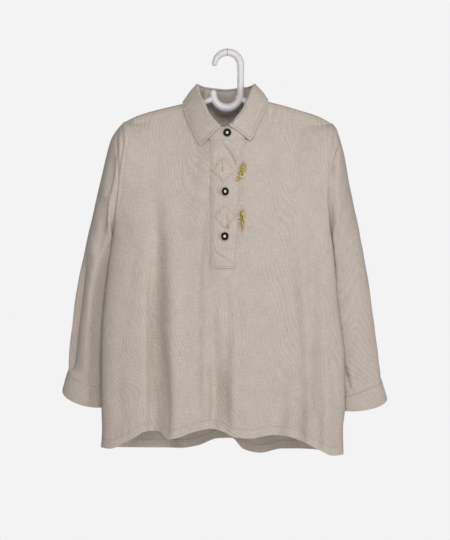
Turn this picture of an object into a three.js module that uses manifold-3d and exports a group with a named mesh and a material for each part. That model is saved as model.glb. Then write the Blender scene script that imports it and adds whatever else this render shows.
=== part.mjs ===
// Folk-costume popover blouse of undyed linen twill, hanging on a tubular plastic hanger.
// Millimetres, +Z up, the front faces -Y. Left (-X) and right (+X) are as seen from the front.
// The origin is under the top of the hanger's hook, where a rail or peg bears.
//
// Every cloth piece is a thin wall: a grid of points on its outer face, row by row from the top
// edge to the bottom edge and, seen from outside, column by column from left to right.

import * as THREE from "three";
import { mergeVertices } from "three/addons/utils/BufferGeometryUtils.js";
import Module from "manifold-3d";

const wasm = await Module();
wasm.setup();

// ---- driving dimensions -------------------------------------------------------------------

const CLOTH = 1.5; // one layer of the blouse's cloth with its turnings
const BAND = 1.6; // doubled and pressed cloth: collar, placket, patches
const CUFF = 2.0; // doubled, interfaced cuff
const SEAM = 0.3; // the parting between two pieces at a seam
const HALF_SEAM = SEAM / 2;
const LAY = 0.5; // the parting between a piece and the panel that it lies on
const NECK_SEAM = 0.8; // the parting along the steep neck seam, measured upright

const BEND = { radius: 8.8, end: 20 }; // the cloth over the hanger's arm, and its taper to the armhole
const FALL = { neck: 45, shoulder: 105, blend: 96 }; // how soon the cloth below its top edge is full
const SHOULDER_Z = -133; // where the shoulder seam meets the left armhole
const UNDERARM_Z = -358;
const ARMHOLE_FRONT = 40; // half depth of the armhole, in front of the shoulder line
const ARMHOLE_BACK = 38;
const FRONT_ROUND = 2.8; // exponents of the superellipses that the body's section follows
const BACK_ROUND = 1.6;
const ARMHOLE_ROUND = 4; // and of its flatter curve between the armholes,
const ARMHOLE_BLEND = 32; // which takes over where the armhole is this deep
const ARMHOLE_PEAK = 2.6; // brings the peak of the pointed armhole's curve to 1
const EDGE_START = 0.8; // the share of the way to the side where the armhole's depth begins to show
const FOLD_END = 6; // exponent by which the folds die away at the sides
const HEM_Z = -790; // the mean height of the hem

const NECK = { x: -3, y: -6, base: { a: 60, b: 50 }, top: { a: 56, b: 46 } };
const STAND_END = 399; // degrees round the neck at the stand's upper end, which laps over the other
const STAND_LAP = 2.1; // how far the upper end stands off the under end
const LEAF_START = 6; // the leaf's right front end
const LEAF_END = 350; // and its left front end

const PLACKET_BOTTOM = -424;
const SLIT = { x: -5, width: 0.8, bottom: -402, over: 20, y: -50, deep: 60 };

const SLEEVE_RINGS = 16;
const ARMHOLE_FADE = 0.3; // share of the sleeve's length over which the armhole's line fades out
const BEHIND = { clear: 2.2, slope: 1.6, below: 26, free: 45 }; // how a sleeve passes behind the body

const HOOK = { radius: 26, tube: 7.4, tip: 5.4, stem: 6.9, drop: -18.6, tipTurn: 172, swell: 2.4 };
const CROOK = { x: -1.3, z: -76.6, radius: 27.2, tube: 7.2, belly: 8.6, stub: -74, end: 6.8 };
const ARM = { root: 6.4, tube: 5.2, clear: 0.5, slope: 1.06 };

const BUTTON = { radius: 8, eye: 3.2, height: 3.8 };
const TOGGLE = {
  length: 36, top: 5.3, tip: 1.9, taper: 1.25, thick: 0.66, bow: 0.8, clear: 0.25, crown: 0.12,
};
const TOGGLE_HOLE = { radius: 1.1, down: [9.5, 15], length: 30 };
const CORD = 0.9; // radius of the loops' cord

// ---- tables -------------------------------------------------------------------------------

// The body's outline seen from the front, from the shoulder points to the hem.
const OUTLINE = [
  { z: SHOULDER_Z, left: -207.5, right: 212 },
  { z: -172, left: -205.5, right: 209.5 },
  { z: -200, left: -209.5, right: 204.5 },
  { z: -240, left: -215, right: 201 },
  { z: -288, left: -221, right: 200 },
  { z: -324, left: -225.5, right: 204 },
  { z: -378, left: -232.5, right: 211 },
  { z: -430, left: -239, right: 216 },
  { z: -488, left: -246, right: 220.5 },
  { z: -548, left: -250.5, right: 228 },
  { z: -600, left: -252, right: 234 },
  { z: -704, left: -252, right: 235 },
  { z: -745, left: -251, right: 231 },
  { z: -795, left: -254, right: 232 },
];

// The shoulder line, over the hanger's arms.
const RIDGE = [
  { x: -207.5, z: SHOULDER_Z },
  { x: -179, z: -119.5 },
  { x: -141, z: -108 },
  { x: -89, z: -95.5 },
  { x: -63, z: -88 },
  { x: 57, z: -88 },
  { x: 99, z: -96 },
  { x: 141, z: -108 },
  { x: 179, z: -120 },
  { x: 212, z: -137 },
];

// The neck seam and the stand's top, by degrees from the front of the neck. The stand's top is
// nearer to the front than its seam by `lean` degrees, and it is lower on the left.
const NECKLINE = [
  { turn: 0, base: -171.5, topLeft: -144, topRight: -143, lean: 0 },
  { turn: 10, base: -171.2, topLeft: -144, topRight: -140, lean: 0 },
  { turn: 20, base: -170.5, topLeft: -135, topRight: -128, lean: 2 },
  { turn: 35, base: -168.5, topLeft: -120, topRight: -111, lean: 9 },
  { turn: 45, base: -161, topLeft: -104, topRight: -95, lean: 14 },
  { turn: 55, base: -146, topLeft: -91, topRight: -83, lean: 15 },
  { turn: 65, base: -127, topLeft: -82, topRight: -70, lean: 13 },
  { turn: 78, base: -103, topLeft: -71, topRight: -63, lean: 8 },
  { turn: 90, base: -88, topLeft: -60, topRight: -60, lean: 3 },
  { turn: 135, base: -93, topLeft: -65, topRight: -65, lean: 0 },
  { turn: 180, base: -97, topLeft: -69, topRight: -69, lean: 0 },
];

// How far the middle of each panel stands from the shoulder line.
const DEPTH = [
  { z: -95, front: 56, back: 44 },
  { z: -168, front: 56, back: 46 },
  { z: -300, front: 51, back: 45 },
  { z: -450, front: 47, back: 43 },
  { z: -600, front: 47, back: 43 },
  { z: -800, front: 51, back: 46 },
];

const FRONT_HEM = [
  { x: -254, z: -782 },
  { x: -235, z: -784 },
  { x: -211, z: -774 },
  { x: -189, z: -763 },
  { x: -167, z: -750 },
  { x: -146, z: -748 },
  { x: -120, z: -765 },
  { x: -102, z: -762 },
  { x: -67, z: -750 },
  { x: -32, z: -743 },
  { x: -11, z: -749 },
  { x: 12, z: -760 },
  { x: 45, z: -763 },
  { x: 90, z: -756 },
  { x: 125, z: -759 },
  { x: 145, z: -768 },
  { x: 179, z: -784 },
  { x: 212, z: -798 },
  { x: 232, z: -796 },
];

const BACK_HEM = [
  { x: -254, z: -782 },
  { x: -205, z: -783 },
  { x: -154, z: -784 },
  { x: -95, z: -785 },
  { x: -60, z: -780 },
  { x: -20, z: -766 },
  { x: 8, z: -765 },
  { x: 32, z: -788 },
  { x: 66, z: -795 },
  { x: 110, z: -786 },
  { x: 170, z: -787 },
  { x: 212, z: -793 },
  { x: 232, z: -796 },
];

// Folds that run down to the hem. At each one the cloth comes forward by twice `rise` over a flank
// of twice `flank`, seen from left to right, and eases back on both sides.
const FRONT_FOLDS = [
  { top: -290, full: -520, xTop: -124, xHem: -128, rise: 6, flank: 16 },
  { top: -428, full: -740, xTop: 0, xHem: 4, rise: 5, flank: 18 },
  { top: -380, full: -720, xTop: 132, xHem: 164, rise: 7, flank: 26 },
  { top: -640, full: -780, xTop: 196, xHem: 188, rise: 3, flank: 10 },
];
const BACK_FOLDS = [
  { top: -330, full: -700, xTop: 118, xHem: 130, rise: 8, flank: 20 },
  { top: -560, full: -760, xTop: 14, xHem: 20, rise: 8, flank: 13 },
  { top: -360, full: -720, xTop: -92, xHem: -104, rise: -9, flank: 18 },
];

// Sleeves, from the armhole to the cuff seam: the ring's outer and inner ends seen from the front,
// its half depth, how far its middle lies behind the shoulder line, and how much lower its front is.
const LEFT_SLEEVE = [
  { u: 0, xOut: -207.8, zOut: -133, xIn: -230.2, zIn: -358, half: 40, back: 0, dip: 0 },
  { u: 0.05, xOut: -219.5, zOut: -145, xIn: -232.5, zIn: -360, half: 41, back: 1, dip: 0 },
  { u: 0.11, xOut: -230, zOut: -161, xIn: -234.0, zIn: -363, half: 42, back: 3, dip: 0 },
  { u: 0.18, xOut: -239.5, zOut: -190, xIn: -234.0, zIn: -367, half: 42, back: 6, dip: 0 },
  { u: 0.28, xOut: -250, zOut: -232, xIn: -234.2, zIn: -376, half: 41, back: 11, dip: 0 },
  { u: 0.38, xOut: -263, zOut: -288, xIn: -232.4, zIn: -392, half: 38, back: 18, dip: 0 },
  { u: 0.52, xOut: -283, zOut: -374, xIn: -224, zIn: -430, half: 33, back: 26, dip: 1 },
  { u: 0.66, xOut: -300, zOut: -455, xIn: -210, zIn: -486, half: 29, back: 31, dip: 2 },
  { u: 0.8, xOut: -311.5, zOut: -535, xIn: -209, zIn: -552, half: 27, back: 34, dip: 3 },
  { u: 0.93, xOut: -318.5, zOut: -602, xIn: -214, zIn: -626, half: 26, back: 36, dip: 4 },
  { u: 1, xOut: -319.5, zOut: -628, xIn: -217, zIn: -662, half: 26, back: 37, dip: 6 },
];
const RIGHT_SLEEVE = [
  { u: 0, xOut: 212.3, zOut: -137, xIn: 203.4, zIn: -358, half: 40, back: 0, dip: 0 },
  { u: 0.05, xOut: 219, zOut: -148, xIn: 206.5, zIn: -360, half: 41, back: 1, dip: 0 },
  { u: 0.11, xOut: 225, zOut: -166, xIn: 208.9, zIn: -363, half: 42, back: 3, dip: 0 },
  { u: 0.18, xOut: 232, zOut: -191, xIn: 209.3, zIn: -367, half: 42, back: 6, dip: 0 },
  { u: 0.28, xOut: 240.5, zOut: -236, xIn: 210.2, zIn: -376, half: 41, back: 11, dip: 0 },
  { u: 0.38, xOut: 251, zOut: -288, xIn: 210.0, zIn: -392, half: 38, back: 18, dip: 0 },
  { u: 0.52, xOut: 269.5, zOut: -378, xIn: 202, zIn: -430, half: 33, back: 26, dip: 1 },
  { u: 0.66, xOut: 284, zOut: -460, xIn: 193, zIn: -486, half: 29, back: 31, dip: 2 },
  { u: 0.8, xOut: 295, zOut: -540, xIn: 194, zIn: -556, half: 27, back: 34, dip: 2 },
  { u: 0.93, xOut: 304, zOut: -612, xIn: 200, zIn: -643, half: 26, back: 36, dip: 3 },
  { u: 1, xOut: 307.5, zOut: -643, xIn: 204, zIn: -682, half: 26, back: 37, dip: 4 },
];

// Cuffs, from the seam to the free edge, in the same columns.
const LEFT_CUFF = [
  { u: 0, xOut: -320.3, zOut: -628.8, xIn: -216.2, zIn: -662.8, half: 26.8, back: 37, dip: 6 },
  { u: 0.5, xOut: -327, zOut: -650, xIn: -219, zIn: -678, half: 27, back: 38, dip: 14 },
  { u: 1, xOut: -332, zOut: -671, xIn: -223, zIn: -690, half: 27, back: 39, dip: 22 },
];
const RIGHT_CUFF = [
  { u: 0, xOut: 308.3, zOut: -643.8, xIn: 203.2, zIn: -682.8, half: 26.8, back: 37, dip: 4 },
  { u: 0.5, xOut: 314.5, zOut: -664, xIn: 207, zIn: -691, half: 27, back: 38, dip: 11 },
  { u: 1, xOut: 321, zOut: -687, xIn: 211, zIn: -698, half: 27, back: 39, dip: 18 },
];

// The collar leaf's free edge on the panels, by degrees round the neck.
const LEAF_EDGE = [
  { turn: LEAF_START, x: 41.6, z: -172 },
  { turn: 14, x: 49, z: -165 },
  { turn: 30, x: 56, z: -150 },
  { turn: 55, x: 69, z: -124 },
  { turn: 78, x: 79, z: -102 },
  { turn: 90, x: 81.5, z: -93 },
  { turn: 102, x: 80, z: -102 },
  { turn: 115, x: 74, z: -107 },
  { turn: 140, x: 50, z: -111 },
  { turn: 180, x: -3, z: -114 },
  { turn: 220, x: -57, z: -111 },
  { turn: 245, x: -82, z: -107 },
  { turn: 258, x: -88, z: -104 },
  { turn: 270, x: -89.5, z: -96 },
  { turn: 282, x: -88.5, z: -105 },
  { turn: 305, x: -79, z: -132 },
  { turn: 328, x: -66, z: -160 },
  { turn: 343, x: -56, z: -178 },
  { turn: LEAF_END, x: -51.4, z: -183 },
];

// The placket's two long edges.
const PLACKET = [
  { z: -165, left: -31, right: 34 },
  { z: -200, left: -31, right: 28 },
  { z: -240, left: -31, right: 24.5 },
  { z: -330, left: -31, right: 24.5 },
  { z: -380, left: -30.5, right: 19 },
  { z: PLACKET_BOTTOM, left: -30, right: 16 },
];

const PATCHES = [
  { name: "loop_patch_upper", x: -7.4, z: -229.6, across: 24, along: 24.8 },
  { name: "loop_patch_lower", x: -5.4, z: -322, across: 22, along: 24.2 },
];
const BUTTONS = [
  { name: "button_top", x: -0.6, z: -155, on: "stand", turn: 0 },
  { name: "button_middle", x: -5.4, z: -272, on: "placket", turn: 30 },
  { name: "button_lower", x: -6, z: -361, on: "placket", turn: 20 },
];
const TOGGLES = [
  { name: "toggle_upper", x: 34.2, z: -218.4, lean: 23, cordTop: -232, cordLow: -243 },
  { name: "toggle_lower", x: 29.9, z: -312, lean: 1, cordTop: -323, cordLow: -333 },
];

// ---- small tools --------------------------------------------------------------------------

const { abs, cos, sin, pow, sqrt, min, max, PI, sign, hypot } = Math;
const rad = (degrees) => (degrees * PI) / 180;
const mix = (a, b, t) => a + (b - a) * t;
const clamp = (v, low = 0, high = 1) => min(high, max(low, v));
const smooth = (t) => clamp(t) ** 2 * (3 - 2 * clamp(t));
const steps = (count) => Array.from({ length: count + 1 }, (_, i) => i / count);
const point = (x, y, z) => new THREE.Vector3(x, y, z);

// A smooth curve through two columns of a table: a cubic that never overshoots its rows.
function curve(table, key, value) {
  const rows = [...table].sort((a, b) => a[key] - b[key]);
  const x = rows.map((row) => row[key]);
  const y = rows.map((row) => row[value]);
  const slope = x.slice(1).map((next, i) => (y[i + 1] - y[i]) / (next - x[i]));
  const tangent = x.map((_, i) => {
    if (i === 0) return slope[0];
    if (i === x.length - 1) return slope[i - 1];
    const [before, after] = [slope[i - 1], slope[i]];
    return before * after <= 0 ? 0 : (2 * before * after) / (before + after);
  });
  return (at) => {
    if (at <= x[0]) return y[0];
    if (at >= x[x.length - 1]) return y[x.length - 1];
    const i = x.findIndex((next, k) => at < x[k + 1]);
    const h = x[i + 1] - x[i];
    const t = (at - x[i]) / h;
    const low = y[i] * (1 + 2 * t) * (1 - t) ** 2 + tangent[i] * h * t * (1 - t) ** 2;
    return low + y[i + 1] * t * t * (3 - 2 * t) - tangent[i + 1] * h * t * t * (1 - t);
  };
}

// The unit normals of a grid of points, facing the side from which its columns run left to right.
function normalsOf(grid, wrap) {
  const last = grid.length - 1;
  const count = grid[0].length;
  return grid.map((row, i) =>
    row.map((_, j) => {
      const before = wrap ? (j + count - 1) % count : max(j - 1, 0);
      const after = wrap ? (j + 1) % count : min(j + 1, count - 1);
      const down = grid[min(i + 1, last)][j].clone().sub(grid[max(i - 1, 0)][j]);
      const across = row[after].clone().sub(row[before]);
      return down.cross(across).normalize();
    }),
  );
}

// A cloth wall behind a grid of outer points. `trim(normal, i, j)` may turn a normal at a seam, and
// `keep(point)` may hold a point of the inner face back.
function wall(grid, thickness, { wrap = false, trim = () => {}, keep = () => {} } = {}) {
  const rows = grid.length;
  const columns = grid[0].length;
  const normals = normalsOf(grid, wrap);
  normals.forEach((row, i) => row.forEach((n, j) => trim(n, i, j)));
  const inner = grid.map((row, i) =>
    row.map((p, j) => p.clone().addScaledVector(normals[i][j].normalize(), -thickness)),
  );
  inner.flat().forEach(keep);
  const points = [...grid.flat(), ...inner.flat()];
  const outerAt = (i, j) => i * columns + (j % columns);
  const innerAt = (i, j) => outerAt(i, j) + rows * columns;
  const faces = [];
  const quad = (a, b, c, d) => faces.push(a, b, c, a, c, d);
  const spans = wrap ? columns : columns - 1;
  for (let j = 0; j < spans; j++) {
    for (let i = 0; i < rows - 1; i++) {
      quad(outerAt(i, j), outerAt(i + 1, j), outerAt(i + 1, j + 1), outerAt(i, j + 1));
      quad(innerAt(i, j), innerAt(i, j + 1), innerAt(i + 1, j + 1), innerAt(i + 1, j));
    }
    quad(outerAt(0, j), outerAt(0, j + 1), innerAt(0, j + 1), innerAt(0, j));
    const end = rows - 1;
    quad(outerAt(end, j + 1), outerAt(end, j), innerAt(end, j), innerAt(end, j + 1));
  }
  if (!wrap) {
    for (let i = 0; i < rows - 1; i++) {
      const right = columns - 1;
      quad(outerAt(i + 1, 0), outerAt(i, 0), innerAt(i, 0), innerAt(i + 1, 0));
      quad(outerAt(i, right), outerAt(i + 1, right), innerAt(i + 1, right), innerAt(i, right));
    }
  }
  return meshOf(points, faces);
}

function meshOf(points, faces) {
  const geometry = new THREE.BufferGeometry().setFromPoints(points);
  geometry.setIndex(faces);
  return geometry;
}

// A round solid along a line of points, with a radius for each and domed ends; `crown` is how
// high the first dome is, as a share of a half ball.
function rod(line, radii, sides, flat = 1, crown = 1) {
  const tangents = line.map((_, i) =>
    line[min(i + 1, line.length - 1)].clone().sub(line[max(i - 1, 0)]).normalize(),
  );
  const across = point(0, 1, 0);
  const ring = (centre, tangent, radius) => {
    const side = tangent.clone().cross(across).normalize();
    return steps(sides).slice(1).map((t) =>
      centre.clone()
        .addScaledVector(side, radius * cos(2 * PI * t))
        .addScaledVector(across, radius * flat * sin(2 * PI * t)),
    );
  };
  const last = line.length - 1;
  const rise = (at) => radii[at] * (at === 0 ? crown : 1);
  const dome = (at, way) => [0.5, 0.87].map((share) => ({
    centre: line[at].clone().addScaledVector(tangents[at], way * rise(at) * share),
    tangent: tangents[at],
    radius: radii[at] * sqrt(1 - share * share),
  }));
  const rings = [
    ...dome(0, -1).reverse(),
    ...line.map((centre, i) => ({ centre, tangent: tangents[i], radius: radii[i] })),
    ...dome(last, 1),
  ].map((r) => ring(r.centre, r.tangent, r.radius));
  const points = rings.flat();
  const start = points.push(line[0].clone().addScaledVector(tangents[0], -rise(0))) - 1;
  const end = points.push(line[last].clone().addScaledVector(tangents[last], rise(last))) - 1;
  const faces = [];
  for (let j = 0; j < sides; j++) {
    const next = (j + 1) % sides;
    for (let i = 0; i < rings.length - 1; i++) {
      const [a, b] = [i * sides, (i + 1) * sides];
      faces.push(a + j, b + j, b + next, a + j, b + next, a + next);
    }
    const top = (rings.length - 1) * sides;
    faces.push(start, j, next, end, top + next, top + j);
  }
  return meshOf(points, faces);
}

const solidOf = (geometry) => {
  const bare = geometry.index ? geometry.toNonIndexed() : geometry.clone();
  const placed = new THREE.BufferGeometry().setAttribute("position", bare.getAttribute("position"));
  const merged = mergeVertices(placed, 1e-4);
  const solid = new wasm.Manifold(
    new wasm.Mesh({
      numProp: 3,
      vertProperties: merged.attributes.position.array,
      triVerts: new Uint32Array(merged.index.array),
    }),
  );
  return solid;
};

const geometryOf = (solid) => {
  const mesh = solid.getMesh();
  return new THREE.BufferGeometry()
    .setAttribute("position", new THREE.BufferAttribute(mesh.vertProperties, 3))
    .setIndex(new THREE.BufferAttribute(mesh.triVerts, 1));
};

// ---- the body's form ----------------------------------------------------------------------

const leftEdge = curve(OUTLINE, "z", "left");
const rightEdge = curve(OUTLINE, "z", "right");
const ridgeZ = curve(RIDGE, "x", "z");
const neckBaseZ = curve(NECKLINE, "turn", "base");
const neckTopLeft = curve(NECKLINE, "turn", "topLeft");
const neckTopRight = curve(NECKLINE, "turn", "topRight");
const standLean = curve(NECKLINE, "turn", "lean");
const DOWN_STEPS = [0, 8, 15, 25, 37, 52, 68, 86, 104, 122, 141, 161, 180];
const HEM_STEPS = 8;

const sideX = (share, z) => mix(leftEdge(z), rightEdge(z), (share + 1) / 2);
const shareOf = (x, z) => (2 * (x - leftEdge(z))) / (rightEdge(z) - leftEdge(z)) - 1;
const armTop = (x) => (x < 0 ? SHOULDER_Z : RIDGE[RIDGE.length - 1].z);

// The bend of the cloth over the hanger's arm, `drop` below the shoulder line.
function overArm(x, drop) {
  const end = x < 0 ? -RIDGE[0].x : RIDGE[RIDGE.length - 1].x;
  const reach = BEND.radius * smooth((end - abs(x)) / BEND.end);
  return reach * sqrt(1 - (1 - clamp(drop / BEND.radius)) ** 2);
}

// How far the cloth has come out, of the way to its full depth, at a drop below its top edge.
function hungOut(x, drop) {
  const fall = mix(FALL.neck, FALL.shoulder, smooth(abs(x - NECK.x) / FALL.blend));
  return 1 - Math.exp(-max(drop, 0) / fall);
}

// A panel's top edge for a column: the shoulder line, or the neck seam between its ends.
function topOf(panel, share) {
  let z = SHOULDER_Z;
  for (let pass = 0; pass < 4; pass++) z = topAt(panel, sideX(share, z)).z;
  return topAt(panel, sideX(share, z));
}

function topAt(panel, x) {
  const reach = (x - NECK.x) / NECK.base.a;
  if (abs(reach) >= 1) return { z: ridgeZ(x), y: 0 };
  const side = (Math.asin(abs(reach)) * 180) / PI;
  const turn = panel.front ? side : 180 - side;
  const out = NECK.base.b * sqrt(1 - reach * reach) - (panel.front ? 1 : -1) * NECK.y;
  return { z: neckBaseZ(turn) - NECK_SEAM, y: max(0, out) };
}

function foldsAt(folds, x, z) {
  return folds.reduce((sum, fold) => {
    const grown = smooth((fold.top - z) / (fold.top - fold.full));
    const middle = mix(fold.xTop, fold.xHem, clamp((fold.top - z) / (fold.top - HEM_Z)));
    const t = (x - middle) / fold.flank;
    return sum + fold.rise * grown * t * Math.exp((1 - t * t) / 2);
  }, 0);
}

const FRONT = {
  front: true,
  way: -1,
  round: FRONT_ROUND,
  armhole: ARMHOLE_FRONT,
  folds: FRONT_FOLDS,
  depth: curve(DEPTH, "z", "front"),
  hem: curve(FRONT_HEM, "x", "z"),
};
const BACK = {
  front: false,
  way: 1,
  round: BACK_ROUND,
  armhole: ARMHOLE_BACK,
  folds: BACK_FOLDS,
  depth: curve(DEPTH, "z", "back"),
  hem: curve(BACK_HEM, "x", "z"),
};

// Half depth of an armhole at a height: round at the shoulder point, pointed at the underarm.
function armholeAt(panel, x, z) {
  const t = clamp((armTop(x) - z) / (armTop(x) - UNDERARM_Z));
  return panel.armhole * ARMHOLE_PEAK * sqrt(t) * (1 - t);
}

// How far a panel's outer face stands from the plane of the shoulder line.
function standOff(panel, share, z) {
  const x = sideX(share, z);
  const top = topOf(panel, share);
  const drop = top.z - z;
  const edge = armholeAt(panel, x, z);
  const side = pow(max(0, 1 - pow(abs(share), panel.round)), 1 / panel.round);
  const crown = mix(side, 1 - pow(abs(share), ARMHOLE_ROUND), smooth(edge / ARMHOLE_BLEND));
  const full = edge + (panel.depth(z) - edge) * crown;
  const nearSide = smooth((abs(share) - EDGE_START) / (1 - EDGE_START));
  const start = max(top.y, overArm(x, ridgeZ(x) - z), edge * nearSide);
  const folds = foldsAt(panel.folds, x, z) * (1 - pow(abs(share), FOLD_END));
  return max(HALF_SEAM, mix(start, max(full, start), hungOut(x, drop)) + folds);
}

// A point over a panel, `lift` clear of its outer face.
function onPanel(panel, x, z, lift = 0) {
  const at = (px, pz) => standOff(panel, clamp(shareOf(px, pz), -1, 1), pz);
  const step = 2;
  const out = at(x, z);
  const slopeX = (at(x + step, z) - at(x - step, z)) / (2 * step);
  const slopeZ = (out - at(x, z - step)) / step;
  const normal = point(-slopeX, panel.way, -slopeZ).normalize();
  return point(x, panel.way * out, z).addScaledVector(normal, lift);
}

// ---- front and back -----------------------------------------------------------------------

const COLUMNS = 38;
const NECK_COLUMNS = 14;
const SPREAD = { shoulder: 0.6, low: 0.35 }; // how much closer the columns stand towards the sides
const BENT = { from: 0.55, over: 0.3 }; // where in the neck the rows begin to crowd at the top
const neckTurn = (q) => 90 * (1 - (1 - q) ** 1.5); // closer together towards the shoulders

// Each column's place across the top edge and across the hem, from -1 to 1. At the top they are
// spread round the neck and along the shoulders; below it they fan out to near even places.
function columnPlaces(panel) {
  const neckPart = NECK_COLUMNS / COLUMNS;
  return steps(COLUMNS).map((t) => {
    const k = 2 * t - 1;
    const inNeck = min(1, abs(k) / neckPart);
    const turn = neckTurn(inNeck);
    const neckX = NECK.x + sign(k) * NECK.base.a * sin(rad(turn));
    const beyond = max(0, abs(k) - neckPart) / (1 - neckPart);
    const corner = shareOf(neckX, neckBaseZ(panel.front ? turn : 180 - turn));
    const top = mix(corner, sign(k), mix(beyond, sin((beyond * PI) / 2), SPREAD.shoulder));
    const low = mix(k, sin((k * PI) / 2), SPREAD.low);
    return { top, low, bent: smooth((inNeck - BENT.from) / BENT.over) };
  });
}

function panelGrid(panel) {
  const places = columnPlaces(panel);
  if (!panel.front) places.reverse();
  const place = (share, z) => point(sideX(share, z), panel.way * standOff(panel, share, z), z);
  const upper = DOWN_STEPS.map((turn, i) =>
    places.map(({ top, low, bent }) => {
      const down = mix(i / (DOWN_STEPS.length - 1), (1 - cos(rad(turn))) / 2, bent);
      const share = mix(top, low, sqrt(down));
      const z = mix(topOf(panel, top).z, UNDERARM_Z, down);
      return place(share, min(z, topOf(panel, share).z));
    }),
  );
  const lower = steps(HEM_STEPS).slice(1).map((t) =>
    places.map(({ low }) => place(low, mix(UNDERARM_Z, panel.hem(sideX(low, HEM_Z)), t))),
  );
  return [...upper, ...lower];
}

// Turns the normals along a panel's seams into the seam's own plane, so that both walls meet square.
function panelTrim(grid) {
  const last = grid[0].length - 1;
  return (n, i, j) => {
    const p = grid[i][j];
    const atSide = j === 0 || j === last;
    const onShoulder = i === 0 && abs(p.y) < 2;
    if (onShoulder) n.set(n.x, 0, max(n.z, 0.2));
    else if (atSide && p.z <= UNDERARM_Z + 0.01) n.set(sign(p.x), 0, 0);
    else if (atSide) n.set(0, n.y, n.z);
  };
}

function panelSolid(panel) {
  const grid = panelGrid(panel);
  const keep = (p) => {
    p.y = panel.way * max(panel.way * p.y, HALF_SEAM);
  };
  return wall(grid, CLOTH, { trim: panelTrim(grid), keep });
}

function frontSolid() {
  const height = SLIT.over - SLIT.bottom;
  const cut = new THREE.BoxGeometry(SLIT.width, SLIT.deep, height).toNonIndexed();
  cut.translate(SLIT.x, SLIT.y, SLIT.bottom + height / 2);
  return geometryOf(solidOf(panelSolid(FRONT)).subtract(solidOf(cut)));
}

// ---- sleeves and cuffs --------------------------------------------------------------------

// Turns round a sleeve, counted from its outer end over the front on the left sleeve and over the
// back on the right one, so that its first ring shares the panels' own rows.
const SLEEVE_TURNS = [...DOWN_STEPS, ...DOWN_STEPS.slice(1, -1).map((t) => 360 - t).reverse()];

function ringOf(rows, side) {
  const at = {};
  for (const key of ["xOut", "zOut", "xIn", "zIn", "half", "back", "dip"]) {
    at[key] = curve(rows, "u", key);
  }
  return (u, turn) => {
    const share = (1 - cos(rad(turn))) / 2;
    const swing = sin(rad(turn)) * side;
    return point(
      mix(at.xOut(u), at.xIn(u), share),
      at.back(u) + at.half(u) * swing,
      mix(at.zOut(u), at.zIn(u), share) + at.dip(u) * swing,
    );
  };
}

// The armhole's own line at a turn, just outside the panels' edges.
function armholePoint(side, turn) {
  const top = side < 0 ? SHOULDER_Z : RIDGE[RIDGE.length - 1].z;
  const z = mix(top, UNDERARM_Z, (1 - cos(rad(turn))) / 2);
  const swing = sin(rad(turn)) * side;
  const panel = swing < 0 ? FRONT : BACK;
  const out = abs(swing) < 1e-6 ? 0 : standOff(panel, side, z);
  return point(sideX(side, z) + side * SEAM, sign(swing) * out, z);
}

// Moves a point of a sleeve or cuff back until it is clear behind the body's side.
function behindBody(p, side) {
  if (p.z > UNDERARM_Z) return p;
  const edge = sideX(side, p.z);
  const inside = side * (edge - p.x);
  const seat = inside > 0
    ? onPanel(BACK, p.x, p.z, BEHIND.clear).y
    : BEHIND.clear + BEHIND.slope * inside;
  p.y = max(p.y, mix(-BEHIND.free, seat, smooth((UNDERARM_Z - p.z) / BEHIND.below)));
  return p;
}

function sleeveGrid(rows, side, count) {
  const ring = ringOf(rows, side);
  return steps(count).map((u) =>
    SLEEVE_TURNS.map((turn) => {
      const fade = 1 - smooth(u / ARMHOLE_FADE);
      const armhole = armholePoint(side, turn).sub(ring(0, turn)).multiplyScalar(fade);
      return behindBody(ring(u, turn).add(armhole), side);
    }),
  );
}

function sleeveSolid(rows, side) {
  const trim = (n, i) => i === 0 && n.set(0, n.y, n.z);
  return wall(sleeveGrid(rows, side, SLEEVE_RINGS), CLOTH, { wrap: true, trim });
}

const CUFF_ROWS = [0, 0.12, 0.5, 1];
const CUFF_COLUMNS = 24;

function cuffSolid(rows, side) {
  const ring = ringOf(rows, side);
  const turns = steps(CUFF_COLUMNS).slice(1).map((t) => 360 * t);
  const grid = CUFF_ROWS.map((u) => turns.map((turn) => behindBody(ring(u, turn), side)));
  return wall(grid, CUFF, { wrap: true });
}

// ---- collar -------------------------------------------------------------------------------

const fromFront = (turn) => {
  const round = ((turn % 360) + 360) % 360;
  return min(round, 360 - round);
};
const onLeft = (turn) => ((turn % 360) + 360) % 360 >= 180;
const lapAt = (turn) => STAND_LAP * smooth((turn - 290) / 45);
const outwardAt = (turn) =>
  point(NECK.base.b * sin(rad(turn)), -NECK.base.a * cos(rad(turn)), 0).normalize();

function neckPoint(ring, z, turn, lap) {
  return point(NECK.x + ring.a * sin(rad(turn)), NECK.y - ring.b * cos(rad(turn)), z)
    .addScaledVector(outwardAt(turn), lap);
}
const standBase = (turn) => neckPoint(NECK.base, neckBaseZ(fromFront(turn)), turn, lapAt(turn));

function standTop(turn) {
  const lean = standLean(fromFront(turn)) * (onLeft(turn) ? -1 : 1);
  const at = turn - lean;
  const z = (onLeft(at) ? neckTopLeft : neckTopRight)(fromFront(at));
  return neckPoint(NECK.top, z, at, lapAt(turn));
}

const quarter = [0, 0.5, 1, 2, 3, 4, 5, 6, 7].map((i) => neckTurn(i / (NECK_COLUMNS / 2)));
const half = [...quarter, ...quarter.slice(0, -1).map((t) => 180 - t).reverse()];
const STAND_TURNS = [-quarter[2], -quarter[1], ...half, ...half.slice(1).map((t) => t + 180)]
  .concat(quarter.slice(1, 4).map((t) => t + 360), STAND_END);
const LEAF_TURNS = STAND_TURNS.filter((t) => t > LEAF_START + 2 && t < LEAF_END - 2);

function standSolid() {
  const grid = [1, 0.5, 0].map((up) =>
    STAND_TURNS.map((turn) => standBase(turn).lerp(standTop(turn), up)),
  );
  return wall(grid, BAND);
}

const leafX = curve(LEAF_EDGE, "turn", "x");
const leafZ = curve(LEAF_EDGE, "turn", "z");

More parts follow.
